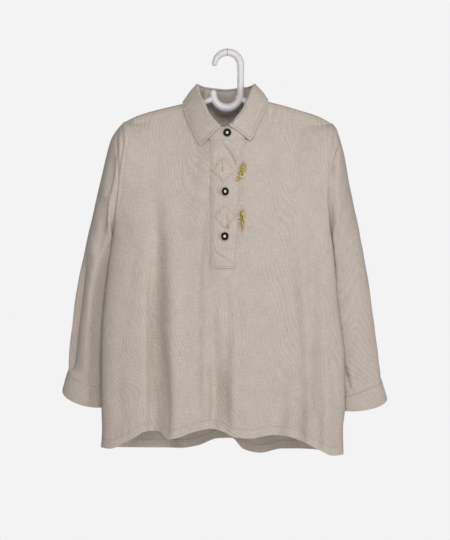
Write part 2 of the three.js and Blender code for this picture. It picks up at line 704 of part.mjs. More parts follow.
// Moves a point of the leaf out until it clears the shoulder's bend or the panel under it.
function clearOfPanels(p, lift) {
  const middle = ridgeZ(p.x) - BEND.radius;
  const panel = p.y < 0 ? FRONT : BACK;
  if (p.z < middle) {
    const seat = onPanel(panel, p.x, p.z, lift);
    p.y = panel.way * max(abs(p.y), abs(seat.y));
    return p;
  }
  const grow = max(1, (BEND.radius + lift) / hypot(p.y, p.z - middle));
  return p.set(p.x, p.y * grow, middle + (p.z - middle) * grow);
}

const CROSSING = 12; // degrees round the neck over which the leaf's edge crosses a shoulder
const ROLL = { radius: 3.2, centre: 1.4, bends: [180, 115, 60, 0] };
const LEAF_FALL = [0.14, 0.34, 0.56, 0.78, 1];
const LEAF_BULGE = 1.2;
const LEAF_LAY = 1.5;
const LEAF_OVER_TAB = { lift: 4, until: 40, over: 25 }; // the front corner's rise over the stand

// The leaf's edge, on the panel under it; where it crosses a shoulder it follows the ridge's bend.
function leafEdge(turn) {
  const overTab = smooth((LEAF_OVER_TAB.until - turn) / LEAF_OVER_TAB.over);
  const lift = BAND + LEAF_LAY + LEAF_OVER_TAB.lift * overTab;
  const x = leafX(turn);
  const swing = (turn < 180 ? turn - 90 : 270 - turn) / CROSSING;
  if (abs(swing) >= 1) return onPanel(swing < 0 ? FRONT : BACK, x, leafZ(turn), lift);
  const out = BEND.radius + lift;
  const bend = (swing * PI) / 2;
  return point(x, out * sin(bend), ridgeZ(x) - BEND.radius + out * cos(bend));
}

function leafSolid() {
  const turns = [LEAF_START, ...LEAF_TURNS, LEAF_END];
  const roll = ROLL.bends.map((bend) =>
    turns.map((turn) =>
      standTop(turn)
        .addScaledVector(outwardAt(turn), ROLL.centre + ROLL.radius * cos(rad(bend)))
        .add(point(0, 0, NECK_SEAM + ROLL.radius * sin(rad(bend)))),
    ),
  );
  const fall = LEAF_FALL.map((down) =>
    turns.map((turn, j) => {
      const bulge = LEAF_BULGE * sin(PI * down);
      const p = roll[3][j].clone().lerp(leafEdge(turn), down)
        .addScaledVector(outwardAt(turn), bulge)
        .add(point(0, 0, bulge));
      return clearOfPanels(p, BAND + LEAF_LAY);
    }),
  );
  const trim = (n, i, j) => i === 0 && n.copy(outwardAt(turns[j])).negate();
  return wall([...roll, ...fall], BAND, { trim });
}

// ---- placket, patches, buttons, toggles ---------------------------------------------------

const placketLeft = curve(PLACKET, "z", "left");
const placketRight = curve(PLACKET, "z", "right");

const STRIP = { rows: 16, columns: 6, guessZ: -200 };

function stripSolid(lift, thickness, left, right, bottom, short = 0) {
  const grid = steps(STRIP.rows).map((t) =>
    steps(STRIP.columns).map((share) => {
      const guess = mix(left(STRIP.guessZ), right(STRIP.guessZ), share);
      const z = mix(topAt(FRONT, guess).z - SEAM - short, bottom, t);
      return onPanel(FRONT, mix(left(z), right(z), share), z, lift);
    }),
  );
  return wall(grid, thickness);
}

const PLACKET_LAY = 0.8;
const PLACKET_LIFT = PLACKET_LAY + BAND;
const UNDER_PLACKET = { left: -24, right: 15, bottom: -418, short: 3, below: 1.1 };

const placketSolid = () =>
  stripSolid(PLACKET_LIFT, BAND, placketLeft, placketRight, PLACKET_BOTTOM);

function underPlacketSolid() {
  const { left, right, bottom, short, below } = UNDER_PLACKET;
  return stripSolid(-CLOTH - below, CLOTH, () => left, () => right, bottom, short);
}

const PATCH = 1; // thickness of a loop patch
const CORD_LIFT = PLACKET_LIFT + SEAM + CORD;

function patchSolid({ x, z, across, along }) {
  const ends = steps(4).map((t) => 2 * t - 1);
  const lift = PLACKET_LIFT + LAY + PATCH;
  const grid = ends.map((v) =>
    ends.map((u) => onPanel(FRONT, x + (across * (u - v)) / 2, z - (along * (u + v)) / 2, lift)),
  );
  return wall(grid, PATCH);
}

function lathed(profile, sides) {
  const closed = [...profile, profile[0]];
  return new THREE.LatheGeometry(closed.map(([r, y]) => new THREE.Vector2(r, y)), sides);
}

// A ring button's rim and its sunk eye, both about the button's own axis, which is local Y.
function rimGeometry() {
  const { radius, eye, height } = BUTTON;
  return lathed([
    [eye + 0.3, 0.6], [radius - 1.6, 0], [radius - 0.4, 1], [radius, 2.2],
    [radius - 1, height - 0.5], [radius - 2.5, height], [eye + 1.1, height - 0.9], [eye + 0.3, 2],
  ], 16);
}
function eyeGeometry() {
  const { eye } = BUTTON;
  return lathed([[0, 0.4], [eye, 0.8], [eye, 1.9], [eye * 0.6, 2.3], [0, 2.3]], 12);
}

const BUTTON_SEAT = { dished: 0.8, stand: 1.2, placket: -0.2 }; // how far a button stands off its bed

function buttonGroup({ name, x, z, on, turn }) {
  const group = new THREE.Group();
  const up = (z - standBase(360).z) / (standTop(360).z - standBase(360).z);
  const seat = on === "stand"
    ? standBase(360).lerp(standTop(360), up)
    : onPanel(FRONT, x, z, PLACKET_LIFT);
  const out = BUTTON.radius * BUTTON_SEAT.dished * sin(rad(turn)) + BUTTON_SEAT[on];
  group.position.set(x, seat.y - out, z);
  group.rotation.z = rad(turn);
  group.add(meshNamed(`${name}_rim`, rimGeometry().rotateX(PI), HORN_DARK));
  group.add(meshNamed(`${name}_eye`, eyeGeometry().rotateX(PI), EYE_METAL));
  return group;
}

// A toggle of horn tip, lying on its cord; its bow and the cord's lift keep it off the placket.
function toggleSolid({ x, z, lean, cordTop, cordLow }) {
  const { length, top, tip, taper, thick, bow, clear } = TOGGLE;
  const tilt = rad(lean);
  const radiusAt = (t) => mix(top, tip, pow(t, taper));
  const cordAt = (z - cordTop) / length;
  const cord = min(
    ...[cordTop, cordLow].map((cz) => {
      const edge = x - sin(tilt) * (z - cz) + LOOP_BEND;
      return onPanel(FRONT, edge, cz, CORD_LIFT + CORD).y;
    }),
  );
  const axis = cord - SEAM - radiusAt(cordAt) * thick - clear;
  const at = (t) => {
    const out = bow * (sin(PI * t) - sin(PI * cordAt));
    return point(x - sin(tilt) * t * length, axis - out, z - cos(tilt) * t * length);
  };
  const stops = [0.02, 0.2, 0.4, 0.6, 0.8, 0.95];
  const body = solidOf(rod(stops.map(at), stops.map(radiusAt), 12, thick, TOGGLE.crown));
  const bored = TOGGLE_HOLE.down.reduce((solid, down) => {
    const { radius, length: deep } = TOGGLE_HOLE;
    const bore = new THREE.CylinderGeometry(radius, radius, deep, 8).toNonIndexed();
    const p = at(down / length);
    bore.translate(p.x, p.y, p.z);
    return solid.subtract(solidOf(bore));
  }, body);
  return geometryOf(bored);
}

// A loop's way from the patch's right corner, under the toggle and back: `from` the corner or the
// bend beyond the toggle by `dx`, and from a height of the patch or of one of its strands by `dz`.
const LOOP_BEND = 4.3; // how far beyond the toggle's middle a loop bends round
const LOOP_WAY = [
  { from: "corner", dx: -2.2, height: "patch", dz: -6.4 },
  { from: "corner", dx: 4, height: "low", dz: 1.5 },
  { from: "bend", dx: -6, height: "low", dz: 0 },
  { from: "bend", dx: -1.6, height: "low", dz: 1.4 },
  { from: "bend", dx: 0, height: "middle", dz: 0 },
  { from: "bend", dx: -1.6, height: "top", dz: -1.4 },
  { from: "bend", dx: -6, height: "top", dz: 0 },
  { from: "corner", dx: 4, height: "top", dz: -0.5 },
  { from: "corner", dx: 1.2, height: "patch", dz: -1.5 },
];

function loopSolid({ x, z, lean, cordTop, cordLow }, patch) {
  const bend = x - sin(rad(lean)) * (z - cordTop) + LOOP_BEND;
  const xOf = { corner: patch.x + patch.across, bend };
  const zOf = { patch: patch.z, low: cordLow, middle: (cordTop + cordLow) / 2, top: cordTop };
  const route = LOOP_WAY.map(({ from, dx, height, dz }) =>
    onPanel(FRONT, xOf[from] + dx, zOf[height] + dz, CORD_LIFT),
  );
  const line = new THREE.CatmullRomCurve3(route).getPoints(20);
  return rod(line, line.map(() => CORD), 6);
}

// ---- hanger -------------------------------------------------------------------------------

const STEM_Z = [-35, -56];
const ARM_START = [{ reach: 24, x: -2, z: -83.5 }, { reach: 45, x: -3, z: -93.2 }];
const ARM_REACH = [66, 90, 115, 141, 165, 183];

// The hook, its stem and the crook below it, as points with the tube's radius at each.
function hookLine() {
  const over = steps(14).map((t) => {
    const turn = rad(mix(HOOK.tipTurn, 0, t));
    return {
      p: point(HOOK.radius * cos(turn), 0, HOOK.drop + HOOK.radius * sin(turn)),
      r: mix(HOOK.tip, HOOK.tube, min(1, t * HOOK.swell)),
    };
  });
  const down = STEM_Z.map((z) => ({ p: point(HOOK.radius, 0, z), r: HOOK.stem }));
  const under = steps(12).map((t) => {
    const turn = rad(mix(0, -180, t));
    return {
      p: point(CROOK.x + CROOK.radius * cos(turn), 0, CROOK.z + CROOK.radius * sin(turn)),
      r: mix(CROOK.tube, CROOK.belly, sin(PI * t) ** 2),
    };
  });
  const stub = { p: point(CROOK.x - CROOK.radius, 0, CROOK.stub), r: CROOK.end };
  return [...over, ...down, ...under, stub];
}

function armLine(side) {
  const drop = (CLOTH + ARM.clear + ARM.tube) * ARM.slope;
  const start = ARM_START.map(({ reach, x, z }) => point(side * reach + x, 0, z));
  const along = ARM_REACH.map((reach) => point(side * reach, 0, ridgeZ(side * reach) - drop));
  return [...start, ...along];
}

function hangerSolid() {
  const hook = hookLine();
  const parts = [rod(hook.map((h) => h.p), hook.map((h) => h.r), 10)];
  for (const side of [-1, 1]) {
    const line = armLine(side);
    const radii = line.map((_, i) => (i === 0 ? ARM.root : ARM.tube));
    parts.push(rod(line, radii, 10));
  }
  return geometryOf(parts.map(solidOf).reduce((whole, part) => whole.add(part)));
}

// ---- the object ---------------------------------------------------------------------------

const material = (color, roughness, metalness = 0) =>
  new THREE.MeshStandardMaterial({ color, roughness, metalness });
const LINEN = material("#c3b8ab", 0.9);
const HORN_DARK = material("#17110d", 0.35);
const EYE_METAL = material("#b9b3a4", 0.4, 0.6);
const HORN_YELLOW = material("#b59f45", 0.5);
const CORD_WHITE = material("#d9d2c6", 0.85);
const PLASTIC = material("#e6e2e4", 0.35);

function meshNamed(name, geometry, finish) {
  const mesh = new THREE.Mesh(geometry, finish);
  mesh.name = name;
  return mesh;
}

const blouse = new THREE.Group();
blouse.add(
  meshNamed("hanger", hangerSolid(), PLASTIC),
  meshNamed("front", frontSolid(), LINEN),
  meshNamed("back", panelSolid(BACK), LINEN),
  meshNamed("sleeve_left", sleeveSolid(LEFT_SLEEVE, -1), LINEN),
  meshNamed("sleeve_right", sleeveSolid(RIGHT_SLEEVE, 1), LINEN),
  meshNamed("cuff_left", cuffSolid(LEFT_CUFF, -1), LINEN),
  meshNamed("cuff_right", cuffSolid(RIGHT_CUFF, 1), LINEN),
  meshNamed("collar_stand", standSolid(), LINEN),
  meshNamed("collar_leaf", leafSolid(), LINEN),
  meshNamed("placket", placketSolid(), LINEN),
  meshNamed("placket_under", underPlacketSolid(), LINEN),
);
for (const patch of PATCHES) blouse.add(meshNamed(patch.name, patchSolid(patch), LINEN));
for (const button of BUTTONS) blouse.add(buttonGroup(button));
TOGGLES.forEach((toggle, i) => {
  blouse.add(meshNamed(toggle.name, toggleSolid(toggle), HORN_YELLOW));
  const loop = toggle.name.replace("toggle", "loop");
  blouse.add(meshNamed(loop, loopSolid(toggle, PATCHES[i]), CORD_WHITE));
});

export default blouse;
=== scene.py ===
"""A folk-costume popover blouse of undyed linen, hanging on a white tubular plastic hanger.

Sizes are in millimetres until a mesh is made, which is in metres. +Z is up and the front faces -Y.
Left (-X) and right (+X) are as seen from the front. The body, sleeves and collar are worked out
from the same named sizes and short tables as the rigid model, and get their creases, hems, seams
and thread here.
"""

import math
from types import SimpleNamespace

import bmesh
import bpy
import numpy as np
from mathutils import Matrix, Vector


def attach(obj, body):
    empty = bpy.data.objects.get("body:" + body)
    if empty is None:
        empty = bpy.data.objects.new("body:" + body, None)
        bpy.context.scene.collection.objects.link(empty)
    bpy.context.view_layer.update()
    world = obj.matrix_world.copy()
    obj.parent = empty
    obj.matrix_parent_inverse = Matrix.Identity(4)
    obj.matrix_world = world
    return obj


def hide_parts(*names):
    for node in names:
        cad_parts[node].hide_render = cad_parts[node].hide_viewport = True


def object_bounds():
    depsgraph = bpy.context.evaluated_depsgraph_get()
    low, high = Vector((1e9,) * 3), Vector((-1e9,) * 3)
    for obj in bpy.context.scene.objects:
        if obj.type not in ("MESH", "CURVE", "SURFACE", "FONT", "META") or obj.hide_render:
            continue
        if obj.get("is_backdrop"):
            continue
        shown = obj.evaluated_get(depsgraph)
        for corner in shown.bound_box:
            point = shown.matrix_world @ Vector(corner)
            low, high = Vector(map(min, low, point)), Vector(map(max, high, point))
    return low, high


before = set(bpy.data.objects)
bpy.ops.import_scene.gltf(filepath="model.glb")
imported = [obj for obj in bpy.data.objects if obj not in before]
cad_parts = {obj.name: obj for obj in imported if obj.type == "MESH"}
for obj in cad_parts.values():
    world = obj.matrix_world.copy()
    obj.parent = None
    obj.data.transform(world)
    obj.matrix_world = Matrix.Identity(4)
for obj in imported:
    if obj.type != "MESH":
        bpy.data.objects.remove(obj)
CAD_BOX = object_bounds()
MM = 0.001

# ---- sizes ----------------------------------------------------------------------------------

CLOTH, BAND, CUFF, PATCH = 1.5, 1.6, 2.0, 1.0  # thickness of the cloth in each sort of piece
SEAM, LAY, NECK_SEAM = 0.3, 0.5, 0.8  # gaps where pieces meet, lie on one another, join at the neck
BEND, BEND_END = 8.8, 20  # the cloth's bend over the hanger's arm, and the length it ends over
ARM_LEFT, ARM_RIGHT = 207.5, 212  # from the middle to each shoulder point
FALL_NECK, FALL_SHOULDER, FALL_BLEND = 45, 105, 96  # how soon the panels reach their full depth
SHOULDER_LEFT, SHOULDER_RIGHT, UNDERARM, HEM_Z = -133, -137, -358, -790  # heights
ARMHOLE_ROUND, ARMHOLE_BLEND, ARMHOLE_PEAK, EDGE_START, FOLD_END = 4, 32, 2.6, 0.5, 6
NECK_X, NECK_Y = -3, -6  # the neck's middle
NECK_A, NECK_B, TOP_A, TOP_B = 60, 50, 56, 46  # its half axes, at its seam and at the stand's top
STAND_START, STAND_END, LEAF_START, LEAF_END = -24.0, 399, 6, 350  # degrees round from the front
STAND_LAP = 2.1  # how far the stand's tab stands off the end that it laps
PLACKET_BOTTOM, BOX_TOP = -424, -386  # heights of the placket's foot and of its box stitching
PLACKET_LIFT = 2.4  # from the front's outer face to the placket's
BEHIND_CLEAR, BEHIND_SLOPE, BEHIND_BELOW, BEHIND_FREE = 2.2, 1.6, 26, 45  # sleeves behind the body
HEM_BAND, CUFF_BAND, LEAF_BAND, PLACKET_BAND = 17, 9, 5.5, 3.2  # edge to stitch line
HEM_TURNING = 0.9  # how much thicker the cloth is where the hem is turned up
HALF_WIDTH = 205  # of the body at the armholes
NO_LINE = 99.0  # a distance from a stitch line at which nothing of it shows


def table(columns, *rows):
    """Rows under named columns, as one array for each name."""
    return {name: np.array([row[i] for row in rows], float) for i, name in enumerate(columns.split())}


OUTLINE = table(
    "z left right",
    (-133, -207.5, 212), (-172, -205.5, 209.5), (-200, -209.5, 204.5), (-240, -215, 201),
    (-288, -221, 200), (-324, -225.5, 204), (-378, -232.5, 211), (-430, -239, 216),
    (-488, -246, 220.5), (-548, -250.5, 228), (-600, -252, 234), (-704, -252, 235),
    (-745, -251, 231), (-795, -254, 232),
)
RIDGE = table(
    "x z",
    (-207.5, -133), (-179, -119.5), (-141, -108), (-89, -95.5), (-63, -88),
    (57, -88), (99, -96), (141, -108), (179, -120), (212, -137),
)
NECKLINE = table(
    "turn base left right lean",
    (0, -171.5, -144, -143, 0), (10, -171.2, -144, -140, 0), (20, -170.5, -135, -128, 2),
    (35, -168.5, -120, -111, 9), (45, -161, -104, -95, 14), (55, -146, -91, -83, 15),
    (65, -127, -82, -70, 13), (78, -103, -71, -63, 8), (90, -88, -60, -60, 3),
    (135, -93, -65, -65, 0), (180, -97, -69, -69, 0),
)
DEPTH = table(
    "z front back",
    (-95, 56, 44), (-168, 56, 46), (-300, 51, 45), (-450, 47, 43), (-600, 47, 43), (-800, 51, 46),
)
FRONT_HEM = table(
    "x z",
    (-254, -782), (-235, -784), (-211, -774), (-189, -763), (-167, -750), (-146, -748),
    (-120, -765), (-102, -762), (-67, -750), (-32, -743), (-11, -749), (12, -760), (45, -763),
    (90, -756), (125, -759), (145, -768), (179, -784), (212, -798), (232, -796),
)
BACK_HEM = table(
    "x z",
    (-254, -782), (-205, -783), (-154, -784), (-95, -785), (-60, -780), (-20, -766), (8, -765),
    (32, -788), (66, -795), (110, -786), (170, -787), (212, -793), (232, -796),
)
FOLDS = "top full x_top x_hem rise flank"
FRONT_FOLDS = table(
    FOLDS,
    (-290, -520, -124, -128, 6, 16), (-428, -740, 0, 4, 5, 18),
    (-380, -720, 132, 164, 7, 26), (-640, -780, 196, 188, 3, 10),
)
BACK_FOLDS = table(
    FOLDS,
    (-330, -700, 118, 130, 8, 20), (-560, -760, 14, 20, 8, 13), (-360, -720, -92, -104, -9, 18),
)
SLEEVE = "u x_out z_out x_in z_in half back dip"
LEFT_SLEEVE = table(
    SLEEVE,
    (0, -207.8, -133, -230.2, -358, 40, 0, 0), (0.05, -219.5, -145, -232.5, -360, 41, 1, 0),
    (0.11, -230, -161, -234, -363, 42, 3, 0), (0.18, -239.5, -190, -234, -367, 42, 6, 0),
    (0.28, -250, -232, -234.2, -376, 41, 11, 0), (0.38, -263, -288, -232.4, -392, 38, 18, 0),
    (0.52, -283, -374, -224, -430, 33, 26, 1), (0.66, -300, -455, -210, -486, 29, 31, 2),
    (0.8, -311.5, -535, -209, -552, 27, 34, 3), (0.93, -318.5, -602, -214, -626, 26, 36, 4),
    (1, -319.5, -628, -217, -662, 26, 37, 6),
)
RIGHT_SLEEVE = table(
    SLEEVE,
    (0, 212.3, -137, 203.4, -358, 40, 0, 0), (0.05, 219, -148, 206.5, -360, 41, 1, 0),
    (0.11, 225, -166, 208.9, -363, 42, 3, 0), (0.18, 232, -191, 209.3, -367, 42, 6, 0),
    (0.28, 240.5, -236, 210.2, -376, 41, 11, 0), (0.38, 251, -288, 210, -392, 38, 18, 0),
    (0.52, 269.5, -378, 202, -430, 33, 26, 1), (0.66, 284, -460, 193, -486, 29, 31, 2),
    (0.8, 295, -540, 194, -556, 27, 34, 2), (0.93, 304, -612, 200, -643, 26, 36, 3),
    (1, 307.5, -643, 204, -682, 26, 37, 4),
)
LEFT_CUFF = table(
    SLEEVE,
    (0, -320.3, -628.8, -216.2, -662.8, 26.8, 37, 6), (0.5, -327, -650, -219, -678, 27, 38, 14),
    (1, -332, -671, -223, -690, 27, 39, 22),
)
RIGHT_CUFF = table(
    SLEEVE,
    (0, 308.3, -643.8, 203.2, -682.8, 26.8, 37, 4), (0.5, 314.5, -664, 207, -691, 27, 38, 11),
    (1, 321, -687, 211, -698, 27, 39, 18),
)
LEAF_EDGE = table(
    "turn x z",
    (6, 41.6, -172), (14, 49, -165), (30, 56, -150), (55, 69, -124), (78, 79, -102),
    (90, 81.5, -93), (102, 80, -102), (115, 74, -107), (140, 50, -111), (180, -3, -114),
    (220, -57, -111), (245, -82, -107), (258, -88, -104), (270, -89.5, -96), (282, -88.5, -105),
    (305, -79, -132), (328, -66, -160), (343, -56, -178), (350, -51.4, -183),
)
PLACKET = table(
    "z left right",
    (-165, -31, 34), (-200, -31, 28), (-240, -31, 24.5), (-330, -31, 24.5), (-380, -30.5, 19),
    (-424, -30, 16),
)

# Creases, seen from the front: a soft trough, or a ridge where the depth is below
# nought, from one end to the other. Its floor wanders sideways by `bow`.
CREASE = "x0 z0 x1 z1 depth width bow"
FRONT_CREASES = table(
    CREASE,
    (-148, -262, -145, -430, 3.2, 15, 3), (-141, -330, -147, -770, 8, 14, -3),
    (-136, -430, -128, -765, 7, 15, -3), (-130, -560, -124, -775, 6, 15, 2),
    (-146, -420, -146, -775, 9, 11, 0),
    (-146, -540, -145, -780, 5, 10, 0), (-146, -650, -145, -785, 4, 10, 0),
    (-104, -440, -98, -752, -3.0, 15, 2), (-150, -600, -150, -760, 3.0, 10, 2),
    (-26, -440, -27, -748, 8, 14, 2),
    (-26, -520, -26, -748, 8, 14, 1), (-27, -620, -25, -755, 8, 14, 1),
    (-3, -440, -5, -750, 7, 12, 2), (-3, -560, -4, -755, 4, 11, 0),
    (40, -450, 46, -750, -2.6, 18, -4), (112, -380, 140, -600, 6.0, 20, 4),
    (134, -440, 136, -785, 9.0, 20, 3), (140, -540, 134, -785, 8.0, 22, 3),
    (140, -630, 132, -785, 9.0, 22, 0), (170, -360, 170, -785, 6.0, 15, 2),
    (166, -430, 166, -790, 5.0, 14, 2), (168, -540, 168, -790, 4.0, 13, 2),
    (184, -600, 184, -795, 4.0, 10, 0), (192, -470, 190, -770, -3.0, 15, 2),
    (-212, -320, -160, -424, 1.6, 9, -5), (192, -322, 146, -420, 1.4, 9, 5),
    (42, -231, 146, -228, 0.7, 3, 1), (-38, -392, -38, -480, 2.4, 7, 1),
    (-17, -430, -24, -512, 1.6, 5, 2), (11, -430, 22, -498, 1.2, 5, -2),
    (-60, -196, -74, -290, 0.9, 10, 3), (66, -196, 80, -300, 0.9, 11, -4),
    (-205, -500, -216, -745, 2.6, 13, -4), (-66, -600, -58, -748, 2.2, 10, 3),
    (88, -640, 78, -754, 1.6, 9, -3), (-166, -690, -158, -765, 3.0, 10, 1),
    (176, -700, 184, -784, 2.4, 9, 2), (-190, -380, -196, -480, 1.2, 9, 3),
    (-24, -735, -20, -748, 1.8, 3, 0), (-12, -730, -4, -750, 2.0, 3, 0),
    (140, -738, 152, -768, 1.6, 4, 1), (-30, -600, -40, -742, 1.6, 8, 2),
    (37, -150, 29.5, -232, 4.4, 2.4, 0), (29, -228, 27.5, -345, 3.0, 2.2, 0),
    (27, -330, 20, -420, 1.4, 2.2, 0),
)
BACK_CREASES = table(
    CREASE,
    (116, -340, 131, -780, 2.4, 12, 5), (-92, -370, -104, -780, -2.2, 11, -4),
    (-60, -430, -66, -776, 1.9, 10, 4), (14, -500, 20, -762, 2.2, 8, 2),
    (50, -420, 60, -788, -1.5, 14, 5), (-160, -420, -172, -778, 1.6, 13, -5),
    (188, -330, 150, -440, 1.1, 9, -5), (-208, -330, -160, -436, 1.2, 9, 5),
    (60, -120, 96, -230, 0.9, 12, 4), (-64, -120, -100, -240, 0.9, 12, -4),
    (-8, -130, 4, -330, 0.8, 16, 6), (168, -560, 176, -784, 1.5, 12, 4),
    (-20, -600, -30, -770, 1.2, 8, 2), (140, -160, 168, -240, 0.8, 10, -3),
    (-146, -160, -170, -236, 0.8, 10, 3), (90, -700, 96, -786, 1.3, 6, 1),
)
LEFT_SLEEVE_CREASES = table(
    CREASE + " side",
    (-207, -142, -206, -182, 3.4, 3, 1, -1), (-206, -178, -219, -252, 4.8, 3.8, 2, -1),
    (-220, -150, -221, -200, 4.2, 3, -1, -1), (-221, -198, -217, -240, 3.8, 3, 1, -1),
    (-214, -158, -214, -226, -1.3, 3, 0, -1), (-228, -176, -224, -250, 1.2, 4, 0, -1),
    (-232, -168, -236, -236, 1.0, 7, 2, -1), (-250, -250, -262, -330, 0.8, 9, -3, -1),
    (-292, -398, -246, -424, 1.2, 8, 4, -1), (-300, -462, -262, -448, 0.9, 7, -3, -1),
    (-296, -440, -307, -618, 1.8, 6, -2, -1), (-276, -430, -286, -610, -1.3, 9, 3, -1),
    (-262, -520, -268, -650, 1.2, 7, 2, -1), (-268, -606, -275, -650, 1.6, 3.5, 0, -1),
    (-294, -598, -301, -638, 1.2, 3.5, 0, -1), (-248, -600, -250, -655, 1.2, 4, 0, -1),
    (-290, -380, -240, -410, 1.3, 8, -4, 1), (-300, -470, -250, -455, 1.2, 7, 3, 1),
    (-270, -300, -262, -420, 0.9, 9, 3, 1), (-290, -500, -296, -630, 1.4, 7, 2, 1),
    (-262, -560, -270, -650, 1.3, 6, -2, 1), (-232, -160, -244, -260, 1.0, 8, 3, 1),
    (-228, -200, -246, -310, 9.0, 8, 2, -1), (-244, -290, -262, -400, 10.0, 10, 2, -1),
    (-300, -440, -308, -640, 3.0, 14, 1, -1),
    (-304, -380, -338, -650, 22.0, 22, 0, -1),
)
RIGHT_SLEEVE_CREASES = table(
    CREASE + " side",
    (223, -184, 207, -240, 7.0, 4.6, 2, -1), (229, -170, 218, -228, -2.0, 4, 1, -1),
    (213, -196, 206, -256, 4.0, 5, 1, -1), (213, -160, 214, -190, 2.2, 3, 0, -1),
    (238, -196, 232, -280, 0.9, 9, -3, -1), (220, -240, 224, -330, 1.2, 8, 2, -1),
    (256, -330, 272, -470, -0.9, 11, 4, -1), (276, -392, 236, -424, 1.0, 8, -4, -1),
    (288, -470, 250, -458, 0.8, 7, 3, -1), (280, -480, 292, -630, 1.1, 9, 3, -1),
    (262, -520, 268, -660, -0.9, 9, -2, -1), (234, -618, 245, -672, 6.0, 2.6, 1, -1),
    (243, -618, 255, -672, -3.4, 4.5, 1, -1),
    (240, -648, 230, -668, 1.2, 3, 0, -1), (252, -640, 262, -668, 1.2, 3.5, 0, -1),
    (286, -610, 292, -650, 1.2, 4, 0, -1), (278, -380, 236, -412, 1.3, 8, 4, 1),
    (290, -470, 244, -456, 1.2, 7, -3, 1), (256, -300, 250, -420, 0.9, 9, -3, 1),
    (276, -500, 284, -640, 1.4, 7, 2, 1), (250, -560, 256, -668, 1.3, 6, 2, 1),
    (226, -166, 236, -262, 1.0, 8, -3, 1),
)

# name, x, z, and how far its corners lie from its middle, across and along
PATCHES = (("loop_patch_upper", -7.4, -229.6, 24, 24.8), ("loop_patch_lower", -5.4, -322, 22, 24.2))
# name, x, z, whether it is on the stand, and how far it is turned on its thread, in degrees
BUTTONS = (
    ("button_top", -0.6, -155, True, 0),
    ("button_middle", -5.4, -272, False, 30),
    ("button_lower", -6, -361, False, 20),
)
# name, x and z of its top, its lean in degrees, and the heights of its loop's two strands
TOGGLES = (
    ("upper", 34.2, -218.4, 23, -232, -243),
    ("lower", 29.9, -312, 1, -323, -333),
)

# ---- small tools ----------------------------------------------------------------------------

PI = math.pi


def mix(a, b, t):
    return a + (b - a) * t


def clamp(v, low=0.0, high=1.0):
    return np.minimum(high, np.maximum(low, v))


def smooth(t):
    t = clamp(t)
    return t * t * (3 - 2 * t)


def sin_d(degrees):
    return np.sin(np.radians(degrees))


def cos_d(degrees):
    return np.cos(np.radians(degrees))


def stack(*parts):
    return np.stack(np.broadcast_arrays(*parts), axis=-1).astype(float)


def unit(v):
    return v / np.maximum(np.linalg.norm(v, axis=-1, keepdims=True), 1e-9)


def curve(rows, key, value):
    """A smooth curve through two columns of a table: a cubic that never overshoots its rows."""
    order = np.argsort(rows[key])
    x, y = rows[key][order], rows[value][order]
    slope = np.diff(y) / np.diff(x)
    before, after = slope[:-1], slope[1:]
    same = before * after > 0
    middle = np.where(same, 2 * before * after / np.where(same, before + after, 1), 0)
    tangent = np.concatenate([slope[:1], middle, slope[-1:]])

    def at(v):
        v = clamp(np.asarray(v, float), x[0], x[-1])
        i = np.clip(np.searchsorted(x, v, side="right") - 1, 0, len(x) - 2)
        h = x[i + 1] - x[i]
        t = (v - x[i]) / h
        low = y[i] * (1 + 2 * t) * (1 - t) ** 2 + tangent[i] * h * t * (1 - t) ** 2
        return low + y[i + 1] * t * t * (3 - 2 * t) - tangent[i + 1] * h * t * t * (1 - t)

    return at


# ---- the body's form ------------------------------------------------------------------------

left_edge, right_edge = curve(OUTLINE, "z", "left"), curve(OUTLINE, "z", "right")
ridge_z = curve(RIDGE, "x", "z")
neck_base_z = curve(NECKLINE, "turn", "base")
neck_top_left, neck_top_right = curve(NECKLINE, "turn", "left"), curve(NECKLINE, "turn", "right")
stand_lean = curve(NECKLINE, "turn", "lean")
FRONT = SimpleNamespace(
    way=-1, round=2.8, armhole=40, folds=FRONT_FOLDS, creases=FRONT_CREASES,
    depth=curve(DEPTH, "z", "front"), hem=curve(FRONT_HEM, "x", "z"), seed=3,
)
BACK = SimpleNamespace(
    way=1, round=1.6, armhole=38, folds=BACK_FOLDS, creases=BACK_CREASES,
    depth=curve(DEPTH, "z", "back"), hem=curve(BACK_HEM, "x", "z"), seed=8,
)


def side_x(share, z):
    """The x of a share of the body's width, from -1 at its left edge to 1 at its right."""
    return mix(left_edge(z), right_edge(z), (share + 1) / 2)


def share_of(x, z):
    return 2 * (x - left_edge(z)) / (right_edge(z) - left_edge(z)) - 1


def over_arm(x, drop):
    """How far the cloth stands off where it bends over the hanger's arm, `drop` below the top."""
    end = np.where(x < 0, ARM_LEFT, ARM_RIGHT)
    reach = BEND * smooth((end - abs(x)) / BEND_END)
    return reach * np.sqrt(1 - (1 - clamp(drop / BEND)) ** 2)


def top_at(panel, x):
    """The (out, z) of a panel's top edge at x: the shoulder line, or the neck seam between its ends."""
    reach = clamp((x - NECK_X) / NECK_A, -1, 1)
    side = np.degrees(np.arcsin(abs(reach)))
    turn = side if panel.way < 0 else 180 - side
    in_neck = abs(reach) < 1
    out = NECK_B * np.sqrt(1 - reach * reach) + panel.way * NECK_Y
    return (
        np.where(in_neck, np.maximum(0, out), 0),
        np.where(in_neck, neck_base_z(turn) - NECK_SEAM, ridge_z(x)),
    )


def top_of(panel, share):
    """A panel's top edge at a share of its width, found in a few steps."""
    z = np.full(np.shape(share), float(SHOULDER_LEFT))
    for _ in range(4):
        z = top_at(panel, side_x(share, z))[1]
    return top_at(panel, side_x(share, z))


def folds_at(folds, x, z):
    """How far the long folds bring the cloth forward at a place."""
    total = 0
    for top, full, x_top, x_hem, rise, flank in zip(*folds.values()):
        middle = mix(x_top, x_hem, clamp((top - z) / (top - HEM_Z)))
        t = (x - middle) / flank
        total = total + rise * smooth((top - z) / (top - full)) * t * np.exp((1 - t * t) / 2)
    return total


